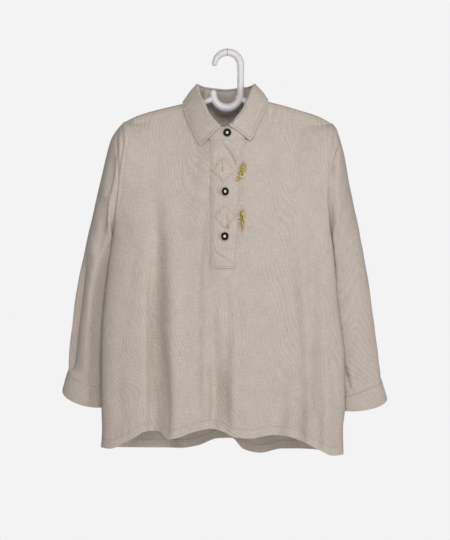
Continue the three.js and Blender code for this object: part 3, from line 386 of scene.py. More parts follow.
def armhole_at(panel, x, z):
    """How far a panel's edge stands from the shoulder's plane along its armhole."""
    top = np.where(x < 0, SHOULDER_LEFT, SHOULDER_RIGHT)
    t = clamp((top - z) / (top - UNDERARM))
    return panel.armhole * ARMHOLE_PEAK * np.sqrt(t) * (1 - t)


def stand_off(panel, share, z):
    """How far a panel's outer face stands from the plane of the shoulder line."""
    share, z = np.broadcast_arrays(np.asarray(share, float), np.asarray(z, float))
    x = side_x(share, z)
    top_y, top_z = top_of(panel, share)
    drop = top_z - z
    edge = armhole_at(panel, x, z)
    side = np.maximum(0, 1 - abs(share) ** panel.round) ** (1 / panel.round)
    crown = mix(side, 1 - abs(share) ** ARMHOLE_ROUND, smooth(edge / ARMHOLE_BLEND))
    full = edge + (panel.depth(z) - edge) * crown
    near_side = smooth((abs(share) - EDGE_START) / (1 - EDGE_START))
    start = np.maximum(np.maximum(top_y, over_arm(x, ridge_z(x) - z)), edge * near_side)
    folds = folds_at(panel.folds, x, z) * (1 - abs(share) ** FOLD_END)
    fall = mix(FALL_NECK, FALL_SHOULDER, smooth(abs(x - NECK_X) / FALL_BLEND))
    hung = 1 - np.exp(-np.maximum(drop, 0) / fall)
    return np.maximum(SEAM / 2, mix(start, np.maximum(full, start), hung) + folds)


def on_panel(panel, x, z, lift=0.0):
    """Points over a panel, `lift` clear of its outer face."""
    x, z = np.broadcast_arrays(np.asarray(x, float), np.asarray(z, float))

    def at(px, pz):
        return stand_off(panel, clamp(share_of(px, pz), -1, 1), pz)

    out = at(x, z)
    slope_x = (at(x + 2, z) - at(x - 2, z)) / 4
    slope_z = (out - at(x, z - 2)) / 2
    normal = unit(stack(-slope_x, panel.way, -slope_z))
    return stack(x, panel.way * out, z) + normal * np.asarray(lift)[..., None]


# ---- relief: creases, undulation and puckers --------------------------------------------------


def creases_at(creases, x, z, side=None):
    """How deep a set of creases lies at points seen from the front, in millimetres."""
    total = np.zeros(np.shape(x))
    for i, row in enumerate(zip(*creases.values())):
        x0, z0, x1, z1, depth, width, bow = row[:7]
        along, across = Vector((x1 - x0, z1 - z0)), Vector((z0 - z1, x1 - x0)).normalized()
        length = along.length
        t = ((x - x0) * along.x + (z - z0) * along.y) / length**2
        wander = bow * np.sin(PI * clamp(t)) + 0.12 * width * np.sin(7 * t + i)
        away = (x - x0) * across.x + (z - z0) * across.y - wander
        ends = smooth(t / 0.3 + 0.35) * smooth((1 - t) / 0.3 + 0.35)
        uneven = 0.8 + 0.25 * np.sin(4.3 * t + 1.7 * i) + 0.1 * np.sin(11 * t + i)
        dip = depth * ends * uneven * np.exp(-((away / width) ** 2))
        total = total + (dip if side is None else dip * smooth(1.5 * row[7] * side))
    return total


def undulation(a, b, seed, size=70.0):
    """A soft, uneven rise and fall over a surface, from -1 to 1."""
    draw = np.random.default_rng(seed)
    total = 0
    for _ in range(7):
        turn = draw.uniform(0, PI)
        pitch = size * draw.uniform(0.6, 1.8)
        phase = draw.uniform(0, 2 * PI)
        way = a * math.cos(turn) + 0.55 * b * math.sin(turn)
        total = total + np.sin(2 * PI * way / pitch + phase)
    return total / 4


def puckers(along, away, seed, pitch=11.0, reach=9.0):
    """Short uneven ripples across a sewn line, dying away from it."""
    draw = np.random.default_rng(seed)
    phases = draw.uniform(0, 2 * PI, 3)
    short, longer, slow = (
        np.sin(2 * PI * along / (pitch * times) + phase)
        for times, phase in zip((1, 1.63, 6.1), phases)
    )
    return (short + 0.7 * longer) * (0.6 + 0.4 * slow) * np.exp(-abs(away) / reach)


def groove(away, width=1.1):
    """1 on a line, dying away over `width` on either side."""
    return np.exp(-((away / width) ** 2))


def panel_relief(panel, share, x, z):
    """How far a panel's face stands out from its plain form."""
    hem_up = z - panel.hem(x)
    rise = -creases_at(panel.creases, x, z) + 0.55 * undulation(x, z, panel.seed)
    rise = rise + 0.45 * puckers(x, hem_up - HEM_BAND, panel.seed, 13, 10)
    if panel.way < 0:
        band = smooth((abs(x + 3) - 30) / 16) + smooth((PLACKET_BOTTOM - 2 - z) / 14)
        collar = smooth((abs(x + 3) - 78) / 26) + smooth((-190 - z) / 26)
    else:
        band = 1.0
        collar = smooth((abs(x + 3) - 84) / 26) + smooth((-112 - z) / 24)
    quiet = clamp(band) * clamp(collar) * smooth((1 - abs(share)) / 0.07)
    if panel.way > 0:
        quiet = quiet * (1 - smooth((abs(share) - 0.66) / 0.12) * smooth((UNDERARM - z) / 30))
    drop = ridge_z(x) - z
    rise = np.where(rise > 0, rise * quiet, rise * smooth((1 - abs(share)) / 0.07)) * smooth(drop / 26)
    in_armhole = smooth((z - UNDERARM - 20) / 60) * (1 - abs(share) < 0.05)
    run = (1 - abs(share)) * HALF_WIDTH
    seamed = 0.9 * groove(run - 2.2, 1.6) - 0.6 * groove(run - 6.5, 1.8)
    rise = rise + in_armhole * seamed * smooth(run / 0.8) * smooth((drop - 14) / 20)
    at_shoulder = smooth((abs(x) - 62) / 6) * smooth((206 - abs(x)) / 6) * (panel.way < 0)
    rise = rise - 0.55 * at_shoulder * groove(drop - 6.5, 1.3)
    return rise + 0.35 * smooth((HEM_BAND - hem_up) / 2)


# ---- meshes ---------------------------------------------------------------------------------

MATERIALS = {}


def normals_of(grid, wrap):
    down = np.empty_like(grid)
    down[1:-1], down[0], down[-1] = grid[2:] - grid[:-2], grid[1] - grid[0], grid[-1] - grid[-2]
    if wrap:
        across = np.roll(grid, -1, axis=1) - np.roll(grid, 1, axis=1)
    else:
        across = np.empty_like(grid)
        across[:, 1:-1] = grid[:, 2:] - grid[:, :-2]
        across[:, 0], across[:, -1] = grid[:, 1] - grid[:, 0], grid[:, -1] - grid[:, -2]
    return unit(np.cross(down, across))


def new_object(name, points, faces, material, uv=None, uv_faces=None, hem=None, crisp=50):
    """An object at the origin from points in millimetres and arrays of faces."""
    mesh = bpy.data.meshes.new(name)
    mesh.from_pydata((np.asarray(points) * MM).tolist(), [], [list(map(int, f)) for f in faces])
    if uv is not None:
        corners = np.concatenate([np.ravel(f) for f in (faces if uv_faces is None else uv_faces)])
        layer = mesh.uv_layers.new(name="UVMap")
        layer.data.foreach_set("uv", (np.asarray(uv)[corners.astype(int)] * MM).ravel())
    # The "hem" attribute is each point's distance from its nearest stitch line. The linen paints shade into
    # its colour along that line.
    if hem is not None:
        values = mesh.attributes.new("hem", "FLOAT", "POINT")
        values.data.foreach_set("value", np.asarray(hem, float).ravel())
    mesh.materials.append(MATERIALS[material])
    mesh.shade_smooth()
    mesh.set_sharp_from_angle(angle=math.radians(crisp))
    piece = bpy.data.objects.new(name, mesh)
    bpy.context.scene.collection.objects.link(piece)
    return piece


def cloth(name, grid, thickness, uv, wrap=False, trim=None, keep=None, hem=None, material="linen"):
    """A thin closed wall behind a grid of points on its outer face, rows from the top down and
    columns from left to right as seen from outside."""
    rows, columns = grid.shape[:2]
    normal = normals_of(grid, wrap)
    if trim:
        normal = unit(trim(normal))
    inner = grid - normal * np.broadcast_to(thickness, grid.shape[:2])[..., None]
    if keep:
        inner = keep(inner)
    spans = columns if wrap else columns - 1
    i, j = (a.ravel() for a in np.meshgrid(np.arange(rows - 1), np.arange(spans), indexing="ij"))
    after, back = (j + 1) % columns, rows * columns
    corner = (i * columns + j, (i + 1) * columns + j, (i + 1) * columns + after, i * columns + after)
    wide = columns + 1 if wrap else columns
    uv_corner = (i * wide + j, (i + 1) * wide + j, (i + 1) * wide + j + 1, i * wide + j + 1)
    faces = [stack(*corner), stack(*(c + back for c in (corner[0], corner[3], corner[2], corner[1])))]
    uv_faces = [stack(*uv_corner), stack(uv_corner[0], uv_corner[3], uv_corner[2], uv_corner[1])]
    j = np.arange(spans)
    after, end = (j + 1) % columns, rows - 1
    top, low = j, end * columns + j
    top_next, low_next = after, end * columns + after
    foot = end * wide + j
    faces += [
        stack(top, top_next, top_next + back, top + back),
        stack(low_next, low, low + back, low_next + back),
    ]
    uv_faces += [stack(j, j + 1, j + 1, j), stack(foot + 1, foot, foot, foot + 1)]
    if not wrap:
        i = np.arange(rows - 1) * columns
        k = i + columns
        faces += [stack(k, i, i + back, k + back)]
        uv_faces += [stack(k, i, i, k)]
        i, k = i + columns - 1, k + columns - 1
        faces += [stack(i, k, k + back, i + back)]
        uv_faces += [stack(i, k, k, i)]
    points = np.concatenate([grid.reshape(-1, 3), inner.reshape(-1, 3)])
    distance = np.broadcast_to(NO_LINE if hem is None else hem, grid.shape[:2])
    return new_object(
        name, points, np.concatenate(faces), material,
        uv.reshape(-1, 2), np.concatenate(uv_faces), np.tile(distance.ravel(), 2),
    )


def lengths(grid, axis, start=0):
    """Arc length along a grid's rows (axis 1) or columns (axis 0), nought at column or row `start`."""
    step = np.linalg.norm(np.diff(grid, axis=axis), axis=-1)
    total = np.cumsum(step, axis=axis)
    total = np.insert(total, 0, 0, axis=axis)
    return total - np.take(total, [start], axis=axis)


def laid(piece, node, slot):
    """Hangs a piece under the root and hides the solid `node` that it stands for. `slot` is not used."""
    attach(piece, "root")
    if node:
        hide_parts(node)
    return piece


# ---- front and back -------------------------------------------------------------------------

HALF_COLUMNS, NECK_SHARE, UPPER_ROWS, LOWER_ROWS, BAND_ROWS = 74, 0.368, 104, 96, 14


def neck_turn(q):
    return 90 * (1 - (1 - q) ** 1.5)


def panel_grid(panel):
    """A panel's points with their shares of the width: its columns fan out from the neck."""
    k = np.linspace(-1, 1, 2 * HALF_COLUMNS + 1) * -panel.way
    in_neck = np.minimum(1, abs(k) / NECK_SHARE)
    turn = neck_turn(in_neck)
    neck_x = NECK_X + np.sign(k) * NECK_A * sin_d(turn)
    beyond = np.maximum(0, abs(k) - NECK_SHARE) / (1 - NECK_SHARE)
    corner = share_of(neck_x, neck_base_z(turn if panel.way < 0 else 180 - turn))
    top = mix(corner, np.sign(k), mix(beyond, np.sin(beyond * PI / 2), 0.6))
    low = mix(k, np.sin(k * PI / 2), 0.35)
    bent = smooth((in_neck - 0.55) / 0.3)
    s = np.linspace(0, 1, UPPER_ROWS + 1)[:, None]
    down = mix(s, (1 - np.cos(PI * s)) / 2, bent)
    share_up = mix(top, low, np.sqrt(down))
    z_up = np.minimum(mix(top_of(panel, top)[1], UNDERARM, down), top_of(panel, share_up)[1])
    hem = panel.hem(side_x(low, HEM_Z))
    t = np.linspace(0, 1, LOWER_ROWS + 1)[1:, None]
    band = np.linspace(0, 1, BAND_ROWS + 1)[1:, None]
    z_low = np.concatenate([mix(UNDERARM, hem + 24, t), mix(hem + 24, hem, band)])
    share = np.concatenate([share_up, np.broadcast_to(low, z_low.shape)])
    z = np.concatenate([z_up, z_low])
    x = side_x(share, z)
    return stack(x, panel.way * stand_off(panel, share, z), z), share


def widths(panel):
    """Arc length across a panel at a height, from the middle of the neck: a lookup over (share, z)."""
    low, high, across, up = -800, -88, 240, 119
    shares, heights = np.linspace(-1, 1, across + 1), np.linspace(low, high, up + 1)
    s, z = np.meshgrid(shares, heights)
    x, y = side_x(s, z), stand_off(panel, s, z)
    run = np.insert(np.cumsum(np.hypot(np.diff(x, axis=1), np.diff(y, axis=1)), axis=1), 0, 0, axis=1)
    run = run - np.array([np.interp(NECK_X, row_x, row) for row_x, row in zip(x, run)])[:, None]

    def at(share, z):
        a = clamp((share + 1) / 2 * across, 0, across - 0.001)
        b = clamp((z - low) / (high - low) * up, 0, up - 0.001)
        i, j = b.astype(int), a.astype(int)
        under = mix(run[i, j], run[i, j + 1], a - j)
        over = mix(run[i + 1, j], run[i + 1, j + 1], a - j)
        return mix(under, over, b - i)

    return at


def panel_piece(name, panel):
    grid, share = panel_grid(panel)
    x, z = grid[..., 0], grid[..., 2]
    normal = normals_of(grid, False)
    rise = panel_relief(panel, share, x, z)
    shaped = grid + normal * rise[..., None]
    shaped[..., 0] = np.where(abs(share) > 0.999, x, shaped[..., 0])

    def trim(n):
        n = n.copy()
        for j in (0, -1):
            low = z[:, j] <= UNDERARM + 0.01
            n[:, j] = np.where(low[:, None], stack(np.sign(x[:, j]), 0, 0), n[:, j] * (0, 1, 1))
        shoulder = abs(grid[0, :, 1]) < 2
        n[0] = np.where(shoulder[:, None], stack(n[0, :, 0], 0, np.maximum(n[0, :, 2], 0.2)), n[0])
        return n

    def keep(inner):
        inner[..., 1] = panel.way * np.maximum(panel.way * inner[..., 1], SEAM / 2)
        return inner

    hem_up = z - panel.hem(x)
    thickness = CLOTH + HEM_TURNING * smooth((HEM_BAND - hem_up) / 1.5)
    uv = stack(widths(panel)(share, z) * -panel.way, z)
    piece = cloth(name, shaped, thickness, uv, trim=trim, keep=keep, hem=hem_up - HEM_BAND)
    return laid(piece, name, "linen")


# ---- sleeves and cuffs ----------------------------------------------------------------------

AROUND = np.arange(-180, 180, 3.75)
SLEEVE_LENGTH, TUCK = 520, 1.2  # TUCK is how far a sleeve's end goes into its cuff
HOLLOW = {-1: 17.0, 1: 2.0}  # how far each side's sleeve falls back beside the body
HOLLOW_REACH, HOLLOW_TOP, HOLLOW_FALL = 34, -330, 110


def ring_of(rows, side):
    """A function that gives the points round a sleeve or cuff at a share of its length."""
    at = {key: curve(rows, "u", key) for key in SLEEVE.split()[1:]}

    def ring(u, turn):
        share, swing = (1 - cos_d(turn)) / 2, sin_d(turn) * side
        return stack(
            mix(at["x_out"](u), at["x_in"](u), share),
            at["back"](u) + at["half"](u) * swing,
            mix(at["z_out"](u), at["z_in"](u), share) + at["dip"](u) * swing,
        )

    return ring


def armhole_point(side, turn):
    """Points round an armhole, a seam's gap outside the body."""
    top = SHOULDER_LEFT if side < 0 else SHOULDER_RIGHT
    z = mix(top, UNDERARM, (1 - cos_d(turn)) / 2)
    swing = sin_d(turn) * side
    out = np.where(swing < 0, stand_off(FRONT, side, z), stand_off(BACK, side, z))
    return stack(side_x(side, z) + side * SEAM, np.sign(swing) * out * (abs(swing) > 1e-6), z)


def behind_body(p, side):
    """Moves points of a sleeve or cuff back until they are clear behind the body's side."""
    x, y, z = p[..., 0], p[..., 1], p[..., 2]
    inside = side * (side_x(side, z) - x)
    over = on_panel(BACK, x, z, BEHIND_CLEAR)[..., 1]
    seat = np.where(inside > 0, over, BEHIND_CLEAR + BEHIND_SLOPE * inside)
    moved = np.maximum(y, mix(-BEHIND_FREE, seat, smooth((UNDERARM - z) / BEHIND_BELOW)))
    apart = np.maximum(0, -inside - SEAM)
    close = apart * (0.03 + 0.97 * smooth(apart / 16))
    near = smooth((UNDERARM + 30 - z) / 40) * smooth((z + 425) / 25)
    x = x + side * (close - apart) * near
    return stack(x, np.where(z > UNDERARM, y, moved), z)


def hollow(p, normal, side):
    """How far the front of a sleeve or cuff falls back where it goes in behind the body."""
    x, z = p[..., 0], p[..., 2]
    inside = side * (side_x(side, z) - x)
    deep = HOLLOW[side] * smooth(1 + inside / HOLLOW_REACH) * smooth((HOLLOW_TOP - z) / HOLLOW_FALL)
    return deep * clamp(-1.6 * normal[..., 1])


def tube_uv(grid):
    """Flat lengths on a tube, along it and around it from the middle of its outer side."""
    closed = np.concatenate([grid, grid[:, :1]], axis=1)
    return stack(lengths(closed, 1, len(AROUND) // 2), -lengths(closed, 0))


def sleeve_piece(name, rows, creases, side, seed):
    ring = ring_of(rows, side)
    u = np.linspace(0, 1, 151)[:, None]
    fade = (1 - smooth(u / 0.3))[..., None]
    plain = ring(u, AROUND) + (armhole_point(side, AROUND) - ring(0, AROUND)) * fade
    grid = behind_body(plain, side)
    x, z = grid[..., 0], grid[..., 2]
    normal = normals_of(grid, True)
    inside = side * (side_x(side, z) - x)
    free = 1 - smooth((inside + 22) / 18) * smooth((UNDERARM + 30 - z) / 30)
    ends = smooth(u / 0.035) * smooth((1 - u) / 0.02)
    down = u * SLEEVE_LENGTH
    rise = -creases_at(creases, x, z, normal[..., 1]) + 0.6 * undulation(down, AROUND * 0.9, seed, 60)
    rise = rise + 0.5 * puckers(AROUND * 0.75, (1 - u) * SLEEVE_LENGTH, seed, 10, 16)
    rise = rise + 0.35 * puckers(AROUND * 1.1, down - 2, seed + 1, 12, 10)
    rise = np.where(rise > 0, rise * free, rise) - 1.3 * groove(down - 6, 4)
    shaped = grid + normal * (rise * ends)[..., None]
    shaped[..., 1] += hollow(grid, normal, side)
    shaped[-1] += TUCK * unit(shaped[-1] - shaped[-4])

    def trim(n):
        n = n.copy()
        n[0] = n[0] * (0, 1, 1)
        return n

    piece = cloth(name, shaped, CLOTH, tube_uv(grid), wrap=True, trim=trim)
    return laid(piece, name, "linen")


def cuff_piece(name, rows, side, seed):
    ring = ring_of(rows, side)
    u = np.linspace(0, 1, 33)[:, None]
    grid = behind_body(ring(u, AROUND), side)
    down = lengths(grid, 0)
    total = down[-1]
    edge = np.minimum(down, total - down)
    rise = 0.3 * undulation(down, AROUND * 0.8, seed, 40) + 0.4 * smooth((edge - 0.4) / 1.2)
    away = down - CUFF_BAND
    rise = rise - 0.35 * groove(away) + 0.3 * puckers(AROUND * 0.75, away, seed, 9, 6)
    z = grid[..., 2]
    inside = side * (side_x(side, z) - grid[..., 0])
    free = 1 - smooth((inside + 20) / 16)
    normal = normals_of(grid, True)
    shaped = grid + normal * ((rise - 0.4) * free)[..., None]
    shaped[..., 1] += hollow(grid, normal, side)
    piece = cloth(name, shaped, CUFF, tube_uv(grid), wrap=True, hem=away)
    return laid(piece, name, "linen")


# ---- collar ---------------------------------------------------------------------------------

ROLL_RADIUS, ROLL_CENTRE, LEAF_BULGE, LEAF_LAY, CROSSING = 3.2, 1.4, 1.2, 1.5, 12


def from_front(turn):
    around = np.mod(turn, 360)
    return np.minimum(around, 360 - around)


def on_left(turn):
    return np.mod(turn, 360) >= 180


def outward_at(turn):
    return unit(stack(NECK_B * sin_d(turn), -NECK_A * cos_d(turn), 0))


def neck_point(a, b, z, turn, lap):
    place = stack(NECK_X + a * sin_d(turn), NECK_Y - b * cos_d(turn), z)
    return place + outward_at(turn) * np.asarray(lap)[..., None]


def lap_at(turn):
    return STAND_LAP * smooth((turn - 290) / 45)


def stand_base(turn):
    return neck_point(NECK_A, NECK_B, neck_base_z(from_front(turn)), turn, lap_at(turn))


def stand_top(turn):
    at = turn - stand_lean(from_front(turn)) * np.where(on_left(turn), -1, 1)
    z = np.where(on_left(at), neck_top_left(from_front(at)), neck_top_right(from_front(at)))
    return neck_point(TOP_A, TOP_B, z, at, lap_at(turn))


def stand_piece():
    turn = np.linspace(STAND_START, STAND_END, 340)
    up = np.linspace(1, 0, 15)[:, None, None]
    grid = mix(stand_base(turn)[None], stand_top(turn)[None], up)
    down = lengths(grid, 0)
    run = lengths(grid, 1)
    edge = np.minimum(down, down[-1] - down)
    rise = 0.25 * undulation(run, down, 21, 30) * smooth(edge / 5)
    shaped = grid + normals_of(grid, False) * rise[..., None]
    hem = np.where(down > 9, NO_LINE, edge - 2.4)
    piece = cloth("collar_stand", shaped, BAND, stack(run, -down), hem=hem)
    return laid(piece, "collar_stand", "linen")


leaf_x, leaf_z = curve(LEAF_EDGE, "turn", "x"), curve(LEAF_EDGE, "turn", "z")


def clear_of_panels(p, lift):
    """Moves points of the leaf out until they clear the shoulder's bend or the panel under them."""
    x, y, z = p[..., 0], p[..., 1], p[..., 2]
    middle = ridge_z(x) - BEND
    front, back = on_panel(FRONT, x, z, lift)[..., 1], on_panel(BACK, x, z, lift)[..., 1]
    low_y = np.where(y < 0, np.minimum(y, front), np.maximum(y, back))
    grow = np.maximum(1, (BEND + lift) / np.maximum(np.hypot(y, z - middle), 1e-6))
    below = z < middle
    return stack(x, np.where(below, low_y, y * grow), np.where(below, z, middle + (z - middle) * grow))


def leaf_edge(turn):
    lift = BAND + LEAF_LAY + 4 * smooth((40 - turn) / 25)
    x = leaf_x(turn)
    swing = np.where(turn < 180, turn - 90, 270 - turn) / CROSSING
    front, back = on_panel(FRONT, x, leaf_z(turn), lift), on_panel(BACK, x, leaf_z(turn), lift)
    bend = clamp(swing, -1, 1) * PI / 2
    over = stack(x, (BEND + lift) * np.sin(bend), ridge_z(x) - BEND + (BEND + lift) * np.cos(bend))
    flat = np.where((swing < 0)[..., None], front, back)
    return np.where((abs(swing) < 1)[..., None], over, flat)


def leaf_grid(turn):
    bend = np.linspace(180, 0, 13)[:, None]
    roll = stand_top(turn) + outward_at(turn) * (ROLL_CENTRE + ROLL_RADIUS * cos_d(bend))[..., None]
    roll[..., 2] += NECK_SEAM + ROLL_RADIUS * sin_d(bend)
    down = np.linspace(0, 1, 37)[1:, None, None]
    bulge = LEAF_BULGE * np.sin(PI * down)
    fall = mix(roll[-1][None], leaf_edge(turn)[None], down) + outward_at(turn) * bulge
    fall[..., 2] += bulge[..., 0]
    return np.concatenate([roll, clear_of_panels(fall, BAND + LEAF_LAY)])


def leaf_piece():
    turn = np.concatenate([
        np.linspace(LEAF_START, 20, 22)[:-1],
        np.linspace(20, 336, 250)[:-1],
        np.linspace(336, LEAF_END, 22),
    ])
    grid = leaf_grid(turn)
    down, run = lengths(grid, 0), lengths(grid, 1, 140)
    edge = np.minimum(np.minimum(down[-1] - down, run - run[:, :1]), run[:, -1:] - run)
    inner = smooth(down / 14)
    rise = (0.4 * undulation(run, down, 33, 45) * smooth(edge / 14) + 0.3) * inner
    seamed = 0.45 * smooth(1 - edge / 7) - 0.3 * smooth(1 - edge / 1.6) - 0.35 * groove(edge - LEAF_BAND)
    rise = rise + inner * seamed
    rise = rise + 0.18 * puckers(run, edge - LEAF_BAND, 5, 9, 4) * inner
    shaped = grid + normals_of(grid, False) * rise[..., None]

    def trim(n):
        n = n.copy()
        n[0] = -outward_at(turn)
        return n

    hem = np.where(down < 12, NO_LINE, edge - LEAF_BAND)
    piece = cloth("collar_leaf", shaped, BAND, stack(run, -down), trim=trim, hem=hem)
    return laid(piece, "collar_leaf", "linen")


# ---- placket and patches --------------------------------------------------------------------

placket_left, placket_right = curve(PLACKET, "z", "left"), curve(PLACKET, "z", "right")
PLACKET_CREASES = table(
    CREASE,
    (-29, -388, -4, -406, 1.3, 1.7, -1), (-4, -406, 15, -424, 1.3, 1.7, 1),
    (-24, -386, 1, -403, -1.9, 2.4, -1), (1, -403, 18, -420, -1.7, 2.4, 1),
    (-26, -392, 12, -414, -1.0, 1.6, 2), (-29, -422, 15, -388, 0.9, 2.0, 0),
    (-13, -176, 17, -228, 1.6, 2.0, 4), (-7, -174, 22, -222, -4.6, 3.8, 4),
    (4, -174, 16, -204, 1.8, 2.2, 2), (-14, -186, -6, -216, 0.7, 3, 1),
    (-4, -340, -6, -384, 0.7, 3, 0), (9, -300, 7, -384, 0.8, 2.4, 1),
    (-20, -190, -24, -222, 0.5, 3, 0), (-16, -396, -8, -400, 0.8, 2, 0),
    (-30, -386, 17, -386, 0.7, 1.3, 0), (-24, -244, -20, -262, 0.5, 3, 0),
    (16, -250, 14, -300, 0.7, 2.2, 0), (-3, -388, -5, -424, 0.9, 2, 0),
)


def strip(left, right, bottom, rows, columns, short=0.0):
    """Even (x, z) places over a strip that follows the placket, from the neck seam to its foot."""
    share = np.linspace(0, 1, columns)
    t = np.linspace(0, 1, rows)[:, None]
    guess = mix(left(-200), right(-200), share)
    z = mix(top_at(FRONT, guess)[1] - SEAM - short, bottom, t)
    return mix(left(z), right(z), share), z


def placket_piece():
    x, z = strip(placket_left, placket_right, PLACKET_BOTTOM, 170, 42, -1.5)
    grid = on_panel(FRONT, x, z, PLACKET_LIFT)
    left, right = x - placket_left(z), placket_right(z) - x
    side, foot = np.minimum(left, right), z - PLACKET_BOTTOM
    edge = np.minimum(side, foot)
    rise = -creases_at(PLACKET_CREASES, x, z) * smooth(edge / 2.5)
    rise = rise + 0.2 * undulation(x, z, 12, 24) * smooth(edge / 6)
    rise = rise + 0.2 * puckers(z, side - PLACKET_BAND, 4, 8, 5) * smooth(edge / 2)
    rise = rise - 0.3 * groove(edge - PLACKET_BAND, 0.9)
    rise = rise + 1.6 * smooth(1 - right / 5) * smooth((z + 330) / 90)
    rise = rise + 0.9 * smooth(1 - (z[0] - z) / 9)
    shaped = grid + normals_of(grid, False) * rise[..., None]
    piece = cloth("placket", shaped, BAND, stack(x, z), hem=edge - PLACKET_BAND)
    return laid(piece, "placket", "linen")


def placket_under_piece():
    x, z = strip(lambda z: z * 0 - 24, lambda z: z * 0 + 15, -418, 60, 14, 3)
    grid = on_panel(FRONT, x, z, -CLOTH - 1.1)
    piece = cloth("placket_under", grid, CLOTH, stack(x, z), hem=np.minimum(x + 24, 15 - x) - 3)
    return laid(piece, "placket_under", "linen")


def patch_piece(name, x0, z0, across, along):
    v, u = np.meshgrid(np.linspace(-1, 1, 33), np.linspace(-1, 1, 33), indexing="ij")
    x, z = x0 + across * (u - v) / 2, z0 - along * (u + v) / 2
    edge = (1 - np.maximum(abs(u), abs(v))) * across * 0.71
    grid = on_panel(FRONT, x, z, PLACKET_LIFT + LAY + PATCH)
    rise = 0.25 * undulation(x, z, 17, 16) * smooth(edge / 3) - 0.3 * groove(edge - 2.2, 0.8)
    rise = rise - 0.3 * smooth(1 - edge / 1.2)
    bar = abs(x - x0 - 1.5)
    rise = rise + 0.35 * smooth(2.4 - bar) * smooth((11 - abs(z - z0)) / 2)
    shaped = grid + normals_of(grid, False) * rise[..., None]
    piece = cloth(name, shaped, PATCH, stack(x, z), hem=edge - 2.2)
    return laid(piece, name, "linen")


# ---- round solids ---------------------------------------------------------------------------


def rod(line, radii, sides, flat=1.0, lobes=0.0, twist=0.0, crown=1.0):
    """Points and faces of a round closed solid along a line, with domed ends. `lobes` makes
    it of strands laid up with a turn every `twist` millimetres."""
    line, radii = np.asarray(line, float), np.asarray(radii, float)
    tangent = unit(np.gradient(line, axis=0))
    run = np.insert(np.cumsum(np.linalg.norm(np.diff(line, axis=0), axis=1)), 0, 0)
    caps = np.sin(np.linspace(0, PI / 2, 5))[1:]

    def dome(at, sign, crown):
        foot, way, radius = line[at], tangent[at], radii[at]
        return [
            (foot + sign * (way * radius * s * crown), way, radius * math.sqrt(1 - s * s), run[at])
            for s in caps
        ]

    start, end = dome(0, -1, crown), dome(-1, 1, 1.0)
    rings = start[:-1][::-1] + list(zip(line, tangent, radii, run)) + end[:-1]
    across = np.array((0.0, 1.0, 0.0))
    angle = np.linspace(0, 2 * PI, sides, endpoint=False)
    points = []
    for centre, way, radius, at in rings:
        side = unit(np.cross(way, across))
        other = unit(np.cross(side, way)) * -1
        reach = radius * (1 + lobes * np.cos(3 * (angle - (2 * PI * at / twist if twist else 0))))
        aside, up = reach * np.cos(angle), reach * np.sin(angle)
        points.append(centre + side * aside[:, None] + other * flat * up[:, None])
    count = len(points)
    points = np.concatenate(points + [start[-1][0][None], end[-1][0][None]])
    faces = []
    for i in range(count - 1):
        for j in range(sides):
            k = (j + 1) % sides
            faces.append((i * sides + j, i * sides + k, (i + 1) * sides + k, (i + 1) * sides + j))
    first, last, top = count * sides, count * sides + 1, (count - 1) * sides
    for j in range(sides):
        k = (j + 1) % sides
        faces += [(first, k, j), (last, top + j, top + k)]
    return points, faces


def outward(piece):
    """Turns a closed mesh's faces outwards."""
    shape = bmesh.new()
    shape.from_mesh(piece.data)
    bmesh.ops.recalc_face_normals(shape, faces=shape.faces)
    shape.to_mesh(piece.data)
    shape.free()
    return piece


def lathe(profile, sides):
    """Points and faces of a closed profile turned about Y."""
    profile = np.asarray(profile, float)
    angle = np.linspace(0, 2 * PI, sides, endpoint=False)
    points = np.concatenate([stack(r * np.cos(angle), y, r * np.sin(angle)) for r, y in profile])
    n, faces = len(profile), []
    for i in range(n):
        for j in range(sides):
            k, m = (j + 1) % sides, (i + 1) % n
            faces.append((i * sides + j, i * sides + k, m * sides + k, m * sides + j))
    return points, faces


def smooth_path(points, count):
    """A centripetal spline through points, sampled evenly between each pair."""
    p = np.asarray(points, float)
    p = np.concatenate([[2 * p[0] - p[1]], p, [2 * p[-1] - p[-2]]])
    knots = np.insert(np.cumsum(np.linalg.norm(np.diff(p, axis=0), axis=1) ** 0.5), 0, 0)
    path = []
    for i in range(1, len(p) - 2):
        k0, k1, k2, k3 = knots[i - 1 : i + 3]
        for t in np.linspace(k1, k2, count, endpoint=i == len(p) - 3):
            a = [
                mix(p[n], p[n + 1], (t - knots[n]) / (knots[n + 1] - knots[n]))
                for n in range(i - 1, i + 2)
            ]
            b = [mix(a[0], a[1], (t - k0) / (k2 - k0)), mix(a[1], a[2], (t - k1) / (k3 - k1))]
            path.append(mix(b[0], b[1], (t - k1) / (k2 - k1)))
    return np.array(path)


# ---- buttons, toggles, loops ----------------------------------------------------------------

RIM_PROFILE = (
    (3.1, 1.1), (4.2, 0.35), (5.6, 0.1), (6.9, 0.3), (7.6, 1.0), (7.95, 1.9), (7.85, 2.8), (7.2, 3.5),
    (6.3, 3.8), (5.2, 3.8), (4.2, 3.4), (3.5, 2.7), (3.1, 1.9),
)
EYE_PROFILE = (
    (0.01, 0.5), (2.5, 0.8), (2.85, 1.1), (2.85, 1.6), (2.5, 1.9), (1.6, 2.1), (0.7, 1.9), (0.01, 1.8),
)


BUTTON_RADIUS = 8
CORD_RADIUS, CORD_LAY, LOOP_BEND = 0.95, 3.4, 4.3  # CORD_LAY is the length of one turn of its strands
TOGGLE_HOLES, BORE_RADIUS, BORE_SIDES = (9.5, 15), 1.45, 20


